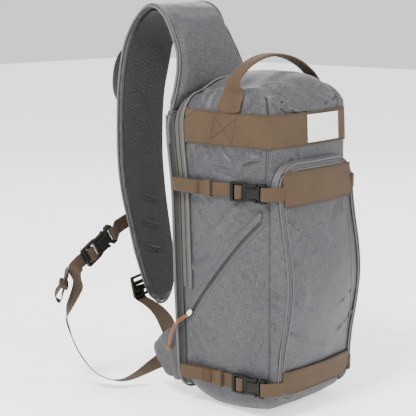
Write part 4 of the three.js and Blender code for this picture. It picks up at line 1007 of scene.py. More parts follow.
class Ribbon:
    """The run of a flat strap, read from its node: an outer and an inner row of points at each station."""

    def __init__(self, node: str, inside: Point = PACK_MIDDLE, step: float = 2.5 * MM) -> None:
        """Reads the strap's stations.

        Args:
            node: the node.
            inside: a point that the outer face looks away from.
            step: how far apart the finer stations are.
        """
        found = node_rings(node)
        half = found.shape[1] // 2
        rows = np.stack([found[:, :half], found[:, half:][:, ::-1]], axis=1)
        outer, inner = rows[:, 0].mean(1), rows[:, 1].mean(1)
        if np.sign(((outer - inner) * (outer - np.array(inside))).sum(1)).sum() < 0:
            rows = rows[:, ::-1]
        runs = np.diff(run_of(rows.mean((1, 2))))
        steps = np.maximum(1, np.round(runs / step).astype(int))
        at = np.concatenate([i + np.arange(n) / n for i, n in enumerate(steps)] + [[len(runs)]])
        self.rows = spline(rows, at)
        self.middle = self.rows.mean((1, 2))
        self.run = run_of(self.middle)
        self.length = float(self.run[-1])
        self.width = float(np.median(np.linalg.norm(np.diff(self.rows[:, 0], axis=1), axis=2).sum(1)))
        self.thick = float(np.median(np.linalg.norm(self.rows[:, 0] - self.rows[:, 1], axis=2)))

    def at(self, along: Any, across: Any, depth: Any) -> np.ndarray:
        """Points in the strap.

        Args:
            along: metres from the first end.
            across: from -1 at one edge to 1 at the other.
            depth: from 0 on the outer face to 1 on the inner one.

        Returns:
            One point for each.
        """
        along, across, depth = (np.atleast_1d(np.asarray(v, dtype=float)) for v in (along, across, depth))
        along, across, depth = np.broadcast_arrays(along, across, depth)
        station = np.interp(along, self.run, np.arange(len(self.run)))
        low = np.clip(station.astype(int), 0, len(self.run) - 2)
        t = (station - low)[:, None, None, None]
        rows = self.rows[low] * (1 - t) + self.rows[low + 1] * t
        columns = rows.shape[2]
        s = (across + 1) / 2 * (columns - 1)
        left = np.clip(s.astype(int), 0, columns - 2)
        index = np.arange(len(left))
        share = (s - left)[:, None, None]
        pair = rows[index, :, left] * (1 - share) + rows[index, :, left + 1] * share
        if columns > 2:
            around = np.clip(left + np.arange(-1, 3)[:, None], 0, columns - 1)
            pair = cubic([rows[index, :, i] for i in around], share)
        d = depth[:, None]
        return pair[:, 0] * (1 - d) + pair[:, 1] * d

    def out(self, along: Any, across: Any) -> np.ndarray:
        """The outer face's direction at these places."""
        return unit(self.at(along, across, 0.0) - self.at(along, across, 1.0))

    def where(self, place: Point) -> float:
        """How far along the strap a place is, in metres."""
        return float(self.run[np.linalg.norm(self.middle - np.array(place), axis=1).argmin()])

    def line(self, start: float, end: float, across: float, to: float | None = None) -> "Trace":
        """A line on the outer face.

        Args:
            start: metres along the strap where it begins.
            end: metres along where it ends.
            across: from -1 to 1, at its beginning.
            to: the same at its end, where that differs.

        Returns:
            The line.
        """
        count = max(2, int(abs(end - start) / (2 * MM)) + 1)
        along = np.linspace(start, end, count)
        sides = np.linspace(across, across if to is None else to, count)
        return Trace(self.at(along, sides, 0.0), self.out(along, sides))

    def coordinates(self, places: np.ndarray) -> np.ndarray:
        """For each place, metres along the strap and across it."""
        side = self.rows[:, :, -1].mean(1) - self.rows[:, :, 0].mean(1)
        return along_and_across(places, self.middle, side)

    def cloth(self, name: str, columns: int = 12, start: float = 0.0, end: float | None = None,
              lift: float = 0.0) -> bpy.types.Object:
        """The strap as webbing with rounded selvedges.

        Args:
            name: the piece's name.
            columns: how many columns cross it.
            start: metres along the strap where it begins.
            end: metres along where it ends; the strap's own end when left out.
            lift: how many thicknesses it lies above the strap's own place.

        Returns:
            The piece, with its UV map.
        """
        stop = self.length if end is None else end
        inside = self.run[(self.run > start + 0.3 * MM) & (self.run < stop - 0.3 * MM)]
        run = np.concatenate([[start], inside, [stop]])
        edge = self.thick / self.width
        across = np.concatenate([[-1, -1 + edge * 0.5, -1 + SELVEDGE * edge],
                                 np.linspace(-1 + 3 * edge, 1 - 3 * edge, columns),
                                 [1 - SELVEDGE * edge, 1 - edge * 0.5, 1]])
        rise = np.clip((1 - np.abs(across)) / (SELVEDGE * edge), 0, 1)
        depth = 0.5 - 0.5 * np.sqrt(1 - (1 - rise) ** 2)
        depth[[0, -1]] = SELVEDGE_DEPTH
        size, rows = 2 * len(across), len(run)
        sides = np.tile(np.concatenate([across, across[::-1]]), rows)
        deep = np.tile(np.concatenate([depth, 1 - depth[::-1]]), rows)
        along = np.repeat(run, size)
        quads = ring_faces(rows, size)
        for row, flip in ((0, True), (rows - 1, False)):
            base = row * size
            for i in range(size // 2 - 1):
                quad = [base + i, base + i + 1, base + size - 2 - i, base + size - 1 - i]
                quads.append(quad[::-1] if flip else quad)
        piece = mesh_piece(name, self.at(along, sides, deep - lift), quads)
        edit(piece, lambda: bpy.ops.mesh.normals_make_consistent(inside=False))
        by_point_uv(piece, np.stack([along, sides * self.width / 2], 1))
        soften(piece, 14 * MM, WEB_WAVE, self.length * 90)
        smooth(piece)
        return piece


def ring_faces(rows: int, size: int) -> list[list[int]]:
    """The faces between rings of points.

    Args:
        rows: how many rings there are.
        size: how many points each has.

    Returns:
        One quad for each point of each gap.
    """
    ring = np.arange(size)
    faces: list[list[int]] = []
    for row in range(rows - 1):
        a, b = row * size + ring, row * size + np.roll(ring, -1)
        faces += np.stack([a, b, b + size, a + size], 1).tolist()
    return faces


def by_point_uv(piece: bpy.types.Object, pairs: np.ndarray) -> None:
    """A UV map from one pair for each point.

    Args:
        piece: the object.
        pairs: a pair of metres for each point.
    """
    corner = np.empty(len(piece.data.loops), dtype=np.int64)
    piece.data.loops.foreach_get("vertex_index", corner)
    write_uv(piece, pairs[corner])


@dataclass
class Tube:
    """A round cord or piping along a path, lofted with its own UV map."""

    name: str
    path: np.ndarray
    radius: float
    sides: int = 12

    def make(self) -> bpy.types.Object:
        """Builds the tube with rounded ends."""
        path = np.asarray(self.path, dtype=float)
        tangent, run = unit(np.gradient(path, axis=0)), run_of(path)
        side = unit(np.cross(tangent[0], (0.3, 0.2, 0.93)))
        turns = np.arange(self.sides) / self.sides
        angle = turns[:, None] * math.tau
        rings, lengths = [], []
        ends = [(-0.9, 0.45), (-0.55, 0.84)]
        stops = [(0, back * self.radius, share) for back, share in ends]
        stops += [(i, 0.0, 1.0) for i in range(len(path))]
        stops += [(len(path) - 1, -back * self.radius, share) for back, share in ends[::-1]]
        for index, shift, share in stops:
            along = tangent[index]
            side = unit(side - along * (side @ along))
            round_it = np.cos(angle) * side + np.sin(angle) * np.cross(along, side)
            ring = path[index] + along * shift + share * self.radius * round_it
            rings.append(ring)
            lengths.append(run[index] + shift)
        size = self.sides
        places = np.concatenate(rings)
        ring = np.arange(size)
        quads = ring_faces(len(rings), size)
        quads += [list(ring[::-1]), list(ring + (len(rings) - 1) * size)]
        piece = mesh_piece(self.name, places, quads)
        by_point_uv(piece, np.stack([np.repeat(lengths, size), np.tile(turns, len(rings))], 1))
        smooth(piece)
        return piece


# Lines on cloth: folds, seams and stitches

@dataclass
class Trace:
    """A line on a surface: its places and the directions out of the surface there."""

    places: np.ndarray
    outs: np.ndarray

    def spaced(self, gap: float) -> "Trace":
        """The same line with its places this far apart.

        Args:
            gap: how far apart, in metres.

        Returns:
            The line.
        """
        run = run_of(self.places)
        at = np.linspace(0, run[-1], max(2, int(round(run[-1] / gap)) + 1))
        places, outs = (np.stack([np.interp(at, run, line[:, i]) for i in range(3)], 1)
                        for line in (self.places, self.outs))
        return Trace(places, unit(outs))

    def ways(self) -> np.ndarray:
        """The line's direction at each place."""
        return unit(np.gradient(self.places, axis=0))

    def beside(self, aside: float, lift: float = 0.0) -> "Trace":
        """The line moved sideways on the surface, and off it."""
        side = np.cross(self.outs, self.ways())
        return Trace(self.places + side * aside + self.outs * lift, self.outs)


class Surface:
    """A finished piece that lines are drawn on."""

    def __init__(self, piece: bpy.types.Object, studio: "Studio") -> None:
        """Reads the piece's faces."""
        self.tree = BVHTree.FromObject(piece, bpy.context.evaluated_depsgraph_get())
        self.studio = studio

    def seen(self, spots: Sequence[Spot], gap: float = 2 * MM) -> Trace:
        """The line through places of the picture.

        Args:
            spots: places in the 416-wide picture, across and down.
            gap: how far apart the line's places are.

        Returns:
            The line on the piece.
        """
        fine = []
        for one, other in zip(spots, spots[1:]):
            count = max(2, int(math.dist(one, other) / 2))
            fine += [tuple(np.array(one) + (np.array(other) - one) * i / count) for i in range(count)]
        fine.append(spots[-1])
        found = []
        for x, y in fine:
            start, way = self.studio.sight(x, y)
            place, out, _, _ = self.tree.ray_cast(start, way)
            if place is None:
                reach = (Vector(PACK_MIDDLE) - start).length
                place, out, _, _ = self.tree.find_nearest(start + way * reach)
            found.append((place, out))
        trace = Trace(np.array([f[0][:] for f in found]), np.array([f[1][:] for f in found]))
        return self.laid(trace.spaced(gap))

    def laid(self, trace: Trace) -> Trace:
        """The line brought onto the piece."""
        found = [self.tree.find_nearest(Vector(place)) for place in trace.places]
        return Trace(np.array([f[0][:] for f in found]), np.array([f[1][:] for f in found]))

    def mirrored(self, trace: Trace) -> Trace:
        """The line on the other side of the pack's middle plane.

        Args:
            trace: the line.

        Returns:
            The mirrored line, laid on the piece.
        """
        places = trace.places * np.array([-1.0, 1.0, 1.0])
        places[:, 0] += 2 * PACK_MIDDLE[0]
        return self.laid(Trace(places, trace.outs))


@dataclass(frozen=True)
class Crease:
    """A fold in cloth: how wide and how deep in millimetres, a furrow when below zero."""

    spots: tuple[Spot, ...]
    width: float
    depth: float
    both: bool = False


def press(piece: bpy.types.Object, lines: Iterable[tuple[Trace, float, float]]) -> None:
    """Presses folds into a piece.

    Args:
        piece: the object.
        lines: each with its width and depth in metres.
    """
    places, outs = points(piece), directions(piece)
    lift = np.zeros(len(places))
    for trace, width, depth in lines:
        low, high = trace.places.min(0) - FOLD_REACH * width, trace.places.max(0) + FOLD_REACH * width
        close = np.flatnonzero(((places > low) & (places < high)).all(1))
        if not len(close):
            continue
        away = np.linalg.norm(places[close, None] - trace.places[None], axis=2)
        nearest = away.argmin(1)
        share = nearest / max(1, len(trace.places) - 1)
        fade = np.clip(np.minimum(share, 1 - share) * 4 + 0.15, 0, 1)
        facing = (outs[close] * trace.outs[nearest]).sum(1).clip(0, 1)
        distance = away[np.arange(len(close)), nearest]
        lift[close] += FOLD_STRENGTH * depth * fade * facing * np.exp(-(distance / width) ** 2)
    move_points(piece, places + outs * lift[:, None])


@dataclass
class Beads:
    """Small rounded pieces laid half in the cloth in rows: stitches, or the links of a zip."""

    wide: float = 1.15 * MM
    thick: float = 1.15 * MM
    length: float = 2.7 * MM
    gap: float = 1.1 * MM
    lift: float = 0.25 * MM

    def __post_init__(self) -> None:
        """Models one bead from a primitive."""
        bpy.ops.object.select_all(action="DESELECT")
        bpy.ops.mesh.primitive_uv_sphere_add(segments=6, ring_count=4, radius=0.5)
        bead = bpy.context.active_object
        edit(bead, lambda: bpy.ops.transform.resize(value=(self.wide, self.thick, self.length)))
        self.shape = points(bead)
        self.faces = [list(face.vertices) for face in bead.data.polygons]
        bpy.data.objects.remove(bead)

    def laid(self, name: str, lines: Iterable[Trace]) -> bpy.types.Object:
        """One piece with a bead at every step of these lines.

        Args:
            name: the piece's name.
            lines: the lines.

        Returns:
            The piece.
        """
        places, faces = [], []
        for line in lines:
            row = line.spaced(self.length + self.gap)
            for place, out, way in zip(row.places, row.outs, row.ways()):
                turn = np.stack([np.cross(out, way), out, way])
                faces += [[i + len(places) * len(self.shape) for i in face] for face in self.faces]
                places.append(self.shape @ turn + place + out * self.lift)
        piece = mesh_piece(name, np.concatenate(places), faces)
        panel_uv(piece)
        smooth(piece)
        return piece


def puffed(piece: bpy.types.Object, cap: float, *held: str, voxel: float = 0.0) -> None:
    """Swells a pad as cloth filled with foam.

    Args:
        piece: the pad.
        cap: how far a point may move.
        held: nodes sewn to the pad, beside which it keeps its place.
        voxel: how fine the pad is remeshed first, or 0 to keep its own mesh.
    """
    if voxel:
        applied(piece, "REMESH", mode="VOXEL", voxel_size=voxel)
    start = points(piece)
    free = np.ones(len(start))
    for node in held:
        tree = node_tree(node)
        near = np.array([tree.find_nearest(Vector(place))[3] for place in start])
        free = np.minimum(free, np.clip((near - HELD_REACH) / (3 * HELD_REACH), 0, 1))
    take(piece)
    modifier = piece.modifiers.new("filling", "CLOTH")
    modifier.settings.use_pressure = True
    modifier.settings.uniform_pressure_force = FOAM_PRESSURE
    modifier.settings.quality = 4
    modifier.settings.effector_weights.gravity = 0.0
    for step in range(1, SETTLE_FRAMES + 1):
        bpy.context.scene.frame_set(step)
    swollen = points(piece.evaluated_get(bpy.context.evaluated_depsgraph_get()))
    piece.modifiers.remove(modifier)
    bpy.context.scene.frame_set(1)
    away = swollen - start
    length = np.maximum(np.linalg.norm(away, axis=1, keepdims=True), 1e-9)
    move_points(piece, start + away * np.minimum(1, cap / length) * free[:, None])
    applied(piece, "SUBSURF", levels=1, render_levels=1)


# Camera and studio

@dataclass
class Studio:
    """The camera at the photograph's viewing angle, a pale floor and soft light."""

    camera_at: Point = (-1.4287, -1.3177, 0.0314)
    turn: Point = (79.8, 0.0, -48.5)
    lens: float = 104.7
    floor_z: float = -0.5985
    floor_size: float = 14.0

    def sight(self, x: float, y: float, picture: float = 416.0) -> tuple[Vector, Vector]:
        """The camera's place, and its line of sight through a place of the picture.

        Args:
            x: how far across the picture.
            y: how far down it.
            picture: the picture's width.

        Returns:
            The camera's place and the direction of sight.
        """
        focal = self.lens / 36.0 * picture
        turn = Euler([math.radians(v) for v in self.turn]).to_matrix()
        way = turn @ Vector((x - picture / 2, picture / 2 - y, -focal))
        return Vector(self.camera_at), way.normalized()

    def camera(self) -> None:
        """Sets the camera."""
        data = bpy.data.cameras.new("camera")
        data.lens, data.sensor_width = self.lens, 36.0
        data.clip_start, data.clip_end = 0.05, 60.0
        camera = bpy.data.objects.new("camera", data)
        camera.location = self.camera_at
        camera.rotation_euler = [math.radians(v) for v in self.turn]
        bpy.context.scene.collection.objects.link(camera)
        bpy.context.scene.camera = camera

    def floor(self) -> None:
        """Lays a plain pale floor."""
        bpy.ops.object.select_all(action="DESELECT")
        bpy.ops.mesh.primitive_plane_add(size=self.floor_size, location=(0, 0, self.floor_z))
        floor = bpy.context.active_object
        floor.name = "floor"
        paint = Paint("pale_floor")
        tone = paint.specks(paint.place(), 3.0, 2.0)
        colour = paint.blend(tone, (0.93, 0.93, 0.93), (0.95, 0.95, 0.95))
        floor.data.materials.append(paint.finish(
            Base_Color=colour, Roughness=0.9, Emission_Color=(1.0, 1.0, 1.0), Emission_Strength=0.9,
        ))

    def lights(self) -> None:
        """Hangs soft lights, and a pale even surround."""
        world = bpy.data.worlds.new("surround")
        world.use_nodes = True
        background = world.node_tree.nodes["Background"]
        background.inputs[0].default_value = (1.0, 1.0, 1.0, 1.0)
        background.inputs[1].default_value = 1.15
        bpy.context.scene.world = world
        aim = Vector((0.0, -0.12, -0.32))
        for name, place, size, power in (
            ("key", (-1.5, -0.35, 1.7), 0.6, 105.0),
            ("front", (0.3, -2.3, 1.0), 1.4, 44.0),
            ("rim", (1.6, 1.2, 1.2), 1.2, 26.0),
        ):
            data = bpy.data.lights.new(name, "AREA")
            data.size, data.energy = size, power
            lamp = bpy.data.objects.new(name, data)
            lamp.location = place
            lamp.rotation_euler = (aim - Vector(place)).to_track_quat("-Z", "Y").to_euler()
            bpy.context.scene.collection.objects.link(lamp)


# Sub-assemblies

@dataclass
class ZipPull:
    """The pull on the side zip: a doubled cord hitched to its slider, with a knot at its end."""

    palette: Palette
    hitch: Point = (-100.38, -97.86, -461.74)
    route: tuple[Point, ...] = (
        (0, 0, 0), (-2.5, 2.4, -1.6), (-5.5, 9, -7), (-6.5, 16, -14),
        (-7, 21, -22), (-7, 25, -31), (-7, 28, -41), (-7, 30, -50),
    )
    aside: Point = (0.0, 1.25, 1.0)
    diameter: float = 2.25
    turns: int = 3

    def strand(self, side: float) -> np.ndarray:
        """One strand's path in metres, on this side of the pair."""
        return curve((np.array(self.hitch) + np.array(self.route) + side * np.array(self.aside)) * MM, 36)

    def build(self) -> None:
        hitch = self.coil("zip_pull_hitch_wrap", "zip_pull_hitch")
        knot = self.coil("zip_pull_end_knot", "zip_pull_knot")
        for name, node, side in (
            ("zip_pull_strand", "zip_pull_cord", 1.0),
            ("zip_pull_strand_back", "zip_pull_cord_return", -1.0),
        ):
            path = self.strand(side)
            length = float(run_of(path)[-1])
            strand = self.palette.dress(Tube(name, path, self.diameter * MM / 2).make(), Finish.CORD, node)

    def coil(self, name: str, node: str) -> bpy.types.Object:
        """A small knot: cord wound over itself in the space of a node.

        Args:
            name: the piece's name.
            node: the node that it replaces.

        Returns:
            The knot.
        """
        low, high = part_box(node)
        strand = self.diameter * MM * 0.46
        angle = np.linspace(0, math.tau * self.turns, 26 * self.turns)
        share = angle / angle[-1] * 2 - 1
        bulge = np.sqrt(np.clip(1 - (share * 0.8) ** 2, 0, 1))
        round_it = np.stack([bulge * np.cos(angle), bulge * np.sin(angle), share * 0.9], 1)
        path = np.array((low + high) / 2) + (np.array((high - low) / 2) - strand) * round_it
        return self.palette.dress(Tube(name, path, strand, 8).make(), Finish.CORD, node)


def creases(rows: Sequence[tuple[float, ...]], both: bool = False) -> list[Crease]:
    """Creases from rows: width and depth in millimetres, then three places of the 416-wide picture."""
    return [Crease((row[2:4], row[4:6], row[6:8]), row[0], row[1], both) for row in rows]


SIDE_FOLDS = creases((
    (2.6, -2.4, 222, 147, 226, 153, 232, 161),
    (2.6, 1.0, 219, 148, 224, 157, 229, 163),
    (3.3, -1.5, 198, 143, 197, 150, 199, 158),
    (3.3, -1.5, 207, 144, 207, 151, 209, 160),
    (3.3, -1.5, 215, 145, 216, 152, 218, 160),
    (3.3, -1.5, 229, 148, 231, 154, 235, 160),
    (3.3, -1.5, 236, 149, 237, 154, 240, 159),
    (3.3, -1.5, 242, 149, 243, 154, 245, 158),
    (3.3, -1.5, 248, 150, 249, 154, 250, 158),
    (3.3, -1.5, 254, 150, 255, 154, 255, 159),
    (3.3, -1.5, 260, 150, 260, 155, 259, 160),
    (3.0, -1.4, 191, 150, 190, 158, 192, 170),
    (3.6, 1.4, 203, 146, 203, 155, 206, 168),
    (6.0, -2.2, 212, 168, 224, 172, 236, 176),
    (6.0, -1.8, 240, 172, 252, 167, 264, 163),
    (5.0, 1.6, 238, 163, 250, 159, 263, 158),
    (6.0, 1.5, 196, 176, 204, 166, 214, 158),
    (9.0, -1.8, 192, 196, 206, 210, 214, 226),
    (9.0, 1.6, 246, 200, 232, 212, 216, 232),
    (7.0, -2.0, 262, 208, 246, 218, 228, 234),
    (5.0, 1.6, 190, 268, 200, 264, 210, 258),
    (8.0, -2.2, 265, 252, 261, 276, 255, 300),
    (9.0, 1.6, 246, 268, 243, 292, 238, 320),
    (9.0, -1.3, 228, 290, 224, 312, 218, 340),
    (8.0, -1.8, 262, 318, 258, 340, 250, 362),
    (3.5, -1.5, 191, 322, 196, 338, 205, 356),
    (3.0, 1.1, 188, 330, 193, 345, 201, 362),
    (5.0, 1.4, 200, 320, 208, 340, 216, 352),
), both=True)
DOME_FOLDS = creases((
    (1.6, -2.6, 266, 96, 267, 104, 268, 116),
    (3.0, 1.4, 263, 98, 262, 106, 263, 116),
    (3.4, 2.2, 270, 96, 277, 101, 286, 107),
    (3.4, 1.6, 286, 107, 296, 110, 308, 110),
    (2.6, -1.5, 272, 104, 278, 110, 282, 117),
    (2.0, -1.9, 281, 108, 285, 112, 288, 117),
    (2.0, -1.2, 290, 110, 293, 113, 296, 117),
    (3.6, 1.8, 262, 98, 255, 106, 247, 115),
    (4.0, -1.8, 252, 100, 246, 107, 243, 115),
    (7.0, -2.4, 280, 90, 296, 97, 314, 104),
    (6.0, 1.6, 266, 84, 284, 86, 300, 90),
    (4.0, 2.0, 314, 84, 325, 90, 333, 95),
    (4.5, -1.8, 308, 92, 320, 98, 330, 104),
    (2.6, -2.6, 336, 93, 338, 99, 337, 108),
    (2.6, 1.4, 342, 96, 343, 103, 343, 110),
    (4.0, 1.6, 210, 88, 204, 94, 199, 103),
    (4.0, -1.8, 218, 90, 212, 98, 209, 109),
    (1.8, -1.2, 304, 111, 306, 113, 305, 115),
    (2.4, -2.0, 297, 147, 298, 153, 300, 161),
    (3.0, -1.6, 283, 149, 281, 156, 276, 163),
    (3.0, 1.4, 290, 149, 289, 156, 286, 163),
    (2.2, 1.6, 272, 150, 271, 160, 270, 172),
))
POCKET_FOLDS = creases((
    (3.2, -2.6, 282, 213, 289, 218, 297, 224),
    (4.0, 2.2, 284, 222, 290, 228, 297, 234),
    (3.4, -2.0, 286, 254, 290, 260, 295, 266),
    (5.0, 1.5, 302, 210, 300, 222, 296, 236),
    (8.0, 0.8, 318, 208, 322, 222, 330, 240),
    (3.6, -0.9, 336, 202, 334, 211, 331, 222),
    (3.2, 1.2, 342, 199, 342, 208, 342, 217),
    (10.0, 1.2, 300, 244, 304, 276, 304, 312),
    (8.0, 1.2, 300, 330, 312, 344, 330, 350),
))
GUSSET_FOLDS = creases((
    (2.2, -1.4, 270, 290, 274, 294, 279, 296),
    (2.4, 1.4, 271, 306, 275, 309, 280, 310),
    (2.4, -1.6, 270, 322, 275, 326, 279, 326),
    (2.4, 1.4, 270, 340, 274, 343, 278, 344),
), both=True)


@dataclass
class BagBody:
    """The cloth tub, its front pocket, its pipings, zips and seams."""

    palette: Palette
    studio: Studio
    stitching: Beads
    levels: int = 3
    seam_radius: float = 0.8 * MM
    seam_aside: float = 2.1 * MM
    welt_radius: float = 1.5 * MM
    fold_radius: float = 5.0 * MM
    fold_aside: float = 6.5 * MM
    chain_radius: float = 1.0 * MM
    row_gap: float = 3.4 * MM
    back_swell: float = 5 * MM

    def build(self) -> None:
        """Builds every piece of the body."""
        body = self.folded("body_shell", "body_cloth", SIDE_FOLDS, DOME_FOLDS)
        pocket = self.folded("front_pocket", "pocket_cloth", POCKET_FOLDS, GUSSET_FOLDS)
        self.folded("side_zip_welt", "side_zip_lip")
        self.seams(Surface(body, self.studio), Surface(pocket, self.studio))
        for node, name in (("main_zip", "main_zip_tape"), ("side_zip", "side_zip_tape")):
            self.palette.dress(Ribbon(node).cloth(name), Finish.ZIP_TAPE, node)
        self.teeth()
        self.pocket_edge()
        for node, name in (("back_piping", "back_seam_piping"), ("flap_piping", "flap_seam_piping")):
            self.palette.dress(rounded_copy(node, name, 2, 1 * MM), Finish.PIPING, node)
        back = copy_of("back_panel", "back_pad")
        smooth_through(back, 2)
        puffed(back, self.back_swell, "back_piping", "body_shell")
        panel_uv(back)
        smooth(back)
        self.palette.dress(back, Finish.MESH, "back_panel")

    def folded(self, node: str, name: str, *tables: Sequence[Crease]) -> bpy.types.Object:
        """A copy of a cloth node with its folds pressed in.

        Args:
            node: the node.
            name: the piece's name.
            tables: the folds that it takes.

        Returns:
            The piece.
        """
        piece = copy_of(node, name)
        smooth_through(piece, self.levels)
        panel_uv(piece)
        surface = Surface(piece, self.studio)
        lines = []
        for crease in (crease for table in tables for crease in table):
            trace = surface.seen(crease.spots)
            for line in (trace, surface.mirrored(trace)) if crease.both else (trace,):
                lines.append((line, FOLD_WIDTH * crease.width * MM, crease.depth * MM))
        press(piece, lines)
        soften(piece, 30 * MM, 0.9 * MM, 4.0, (1.0, 1.0, 0.7))
        soften(piece, 9 * MM, 0.25 * MM, 7.0)
        smooth(piece)
        return self.palette.dress(piece, Finish.CLOTH, node)

    def sewn(self, name: str, rows: Iterable[Trace], thread: bpy.types.Material) -> None:
        """Sews rows of stitches in this thread."""
        self.palette.dress(self.stitching.laid(name, rows), Finish.CLOTH, material=thread)

    def seam(self, name: str, line: Trace, radius: float, sunk: float,
             material: bpy.types.Material | None = None) -> None:
        """Lays a seam's cord along a line, sunk by this share of its radius."""
        path = line.beside(0.0, -sunk * radius).spaced(CORD_STEP).places
        self.palette.dress(Tube(name, path, radius, 8).make(), Finish.CLOTH, material=material)

    def seams(self, body: Surface, pocket: Surface) -> None:
        """Lays the seams and their stitches on the tub and the pocket; each seam line is a sunk cord of
        painted shadow, and so is the dark line of the main zip's chain.

        Args:
            body: the finished tub.
            pocket: the finished pocket.
        """
        # painted shadow: the seam lines and the main zip's chain below are near-black cords
        shadow = self.palette.shadow
        corner = body.seen(((266.4, 150), (266.2, 166), (265.6, 184), (266, 210)))
        dart = body.seen(((266, 97), (267, 106), (268.2, 117)))
        for name, line in (("corner_seam", corner), ("other_corner_seam", body.mirrored(corner))):
            self.seam(name, line, self.seam_radius, 0.55, shadow)
            self.seam(f"{name}_welt", line.beside(self.seam_aside), self.welt_radius, 0.6)
            self.seam(f"{name}_fell", line.beside(-self.seam_aside), self.welt_radius, 0.7)
        self.seam("dart_seam", dart, self.seam_radius * 0.8, 0.5, shadow)
        chain = Ribbon("side_zip")
        opening = chain.line(2 * MM, chain.length - 2 * MM, 0.0)
        rows = []
        for name, side in (("side_zip_upper_welt", 1), ("side_zip_lower_welt", -1)):
            line = body.laid(opening.beside(side * self.fold_aside))
            self.seam(name, line, self.fold_radius, 0.6)
            rows.append(body.laid(opening.beside(side * (self.fold_aside + self.fold_radius * 0.95))))
        tape = Ribbon("main_zip")
        chain_line = tape.line(2 * MM, tape.length - 2 * MM, -0.1)
        # the dark line along the main zip's middle, a cord of painted shadow
        self.seam("main_zip_chain", chain_line, self.chain_radius, 0.2, shadow)
        self.sewn("side_zip_stitches", rows, self.palette.pale_thread)
        top = pocket.seen(((283, 209.5), (300, 206), (322, 201), (346, 195.5)))
        side = pocket.seen(((347, 214), (350, 240), (351.5, 268), (350.5, 300), (346, 334)))
        self.seam("pocket_side_seam", side, self.seam_radius, 0.5, shadow)
        self.sewn("pocket_stitches", [top, top.beside(self.row_gap)], self.palette.grey_thread)

    def teeth(self) -> None:
        """Lays the coil of the side zip: small links in a row, in the near-black painted-shadow material that
        stands for the shade in the zip's gap.
        """
        chain = Ribbon("side_zip")
        links = Beads(wide=3.2 * MM, thick=1.2 * MM, length=1.0 * MM, gap=0.4 * MM, lift=0.3 * MM)
        coil = links.laid("side_zip_coil", [chain.line(4 * MM, chain.length - 4 * MM, 0.0)])
        # painted shadow of the zip's gap
        self.palette.dress(coil, Finish.ZIP_TAPE, material=self.palette.shadow)

    def pocket_edge(self) -> None:
        """Lays the welt round the pocket, its stitches and the cords along its rims."""
        welt = Ribbon("pocket_welt")
        self.palette.dress(welt.cloth("pocket_edge_welt", 6), Finish.CLOTH, "pocket_welt")
        rows = [welt.line(0, welt.length, side) for side in (-0.55, 0.55)]
        self.sewn("pocket_welt_stitches", rows, self.palette.grey_thread)
        for index, side in enumerate((-0.97, 0.97)):
            rim = welt.line(0, welt.length, side).spaced(CORD_STEP).places
            cord = Tube(f"pocket_welt_edge_{index + 1}", rim, self.chain_radius, 8).make()
            self.palette.dress(cord, Finish.PIPING)


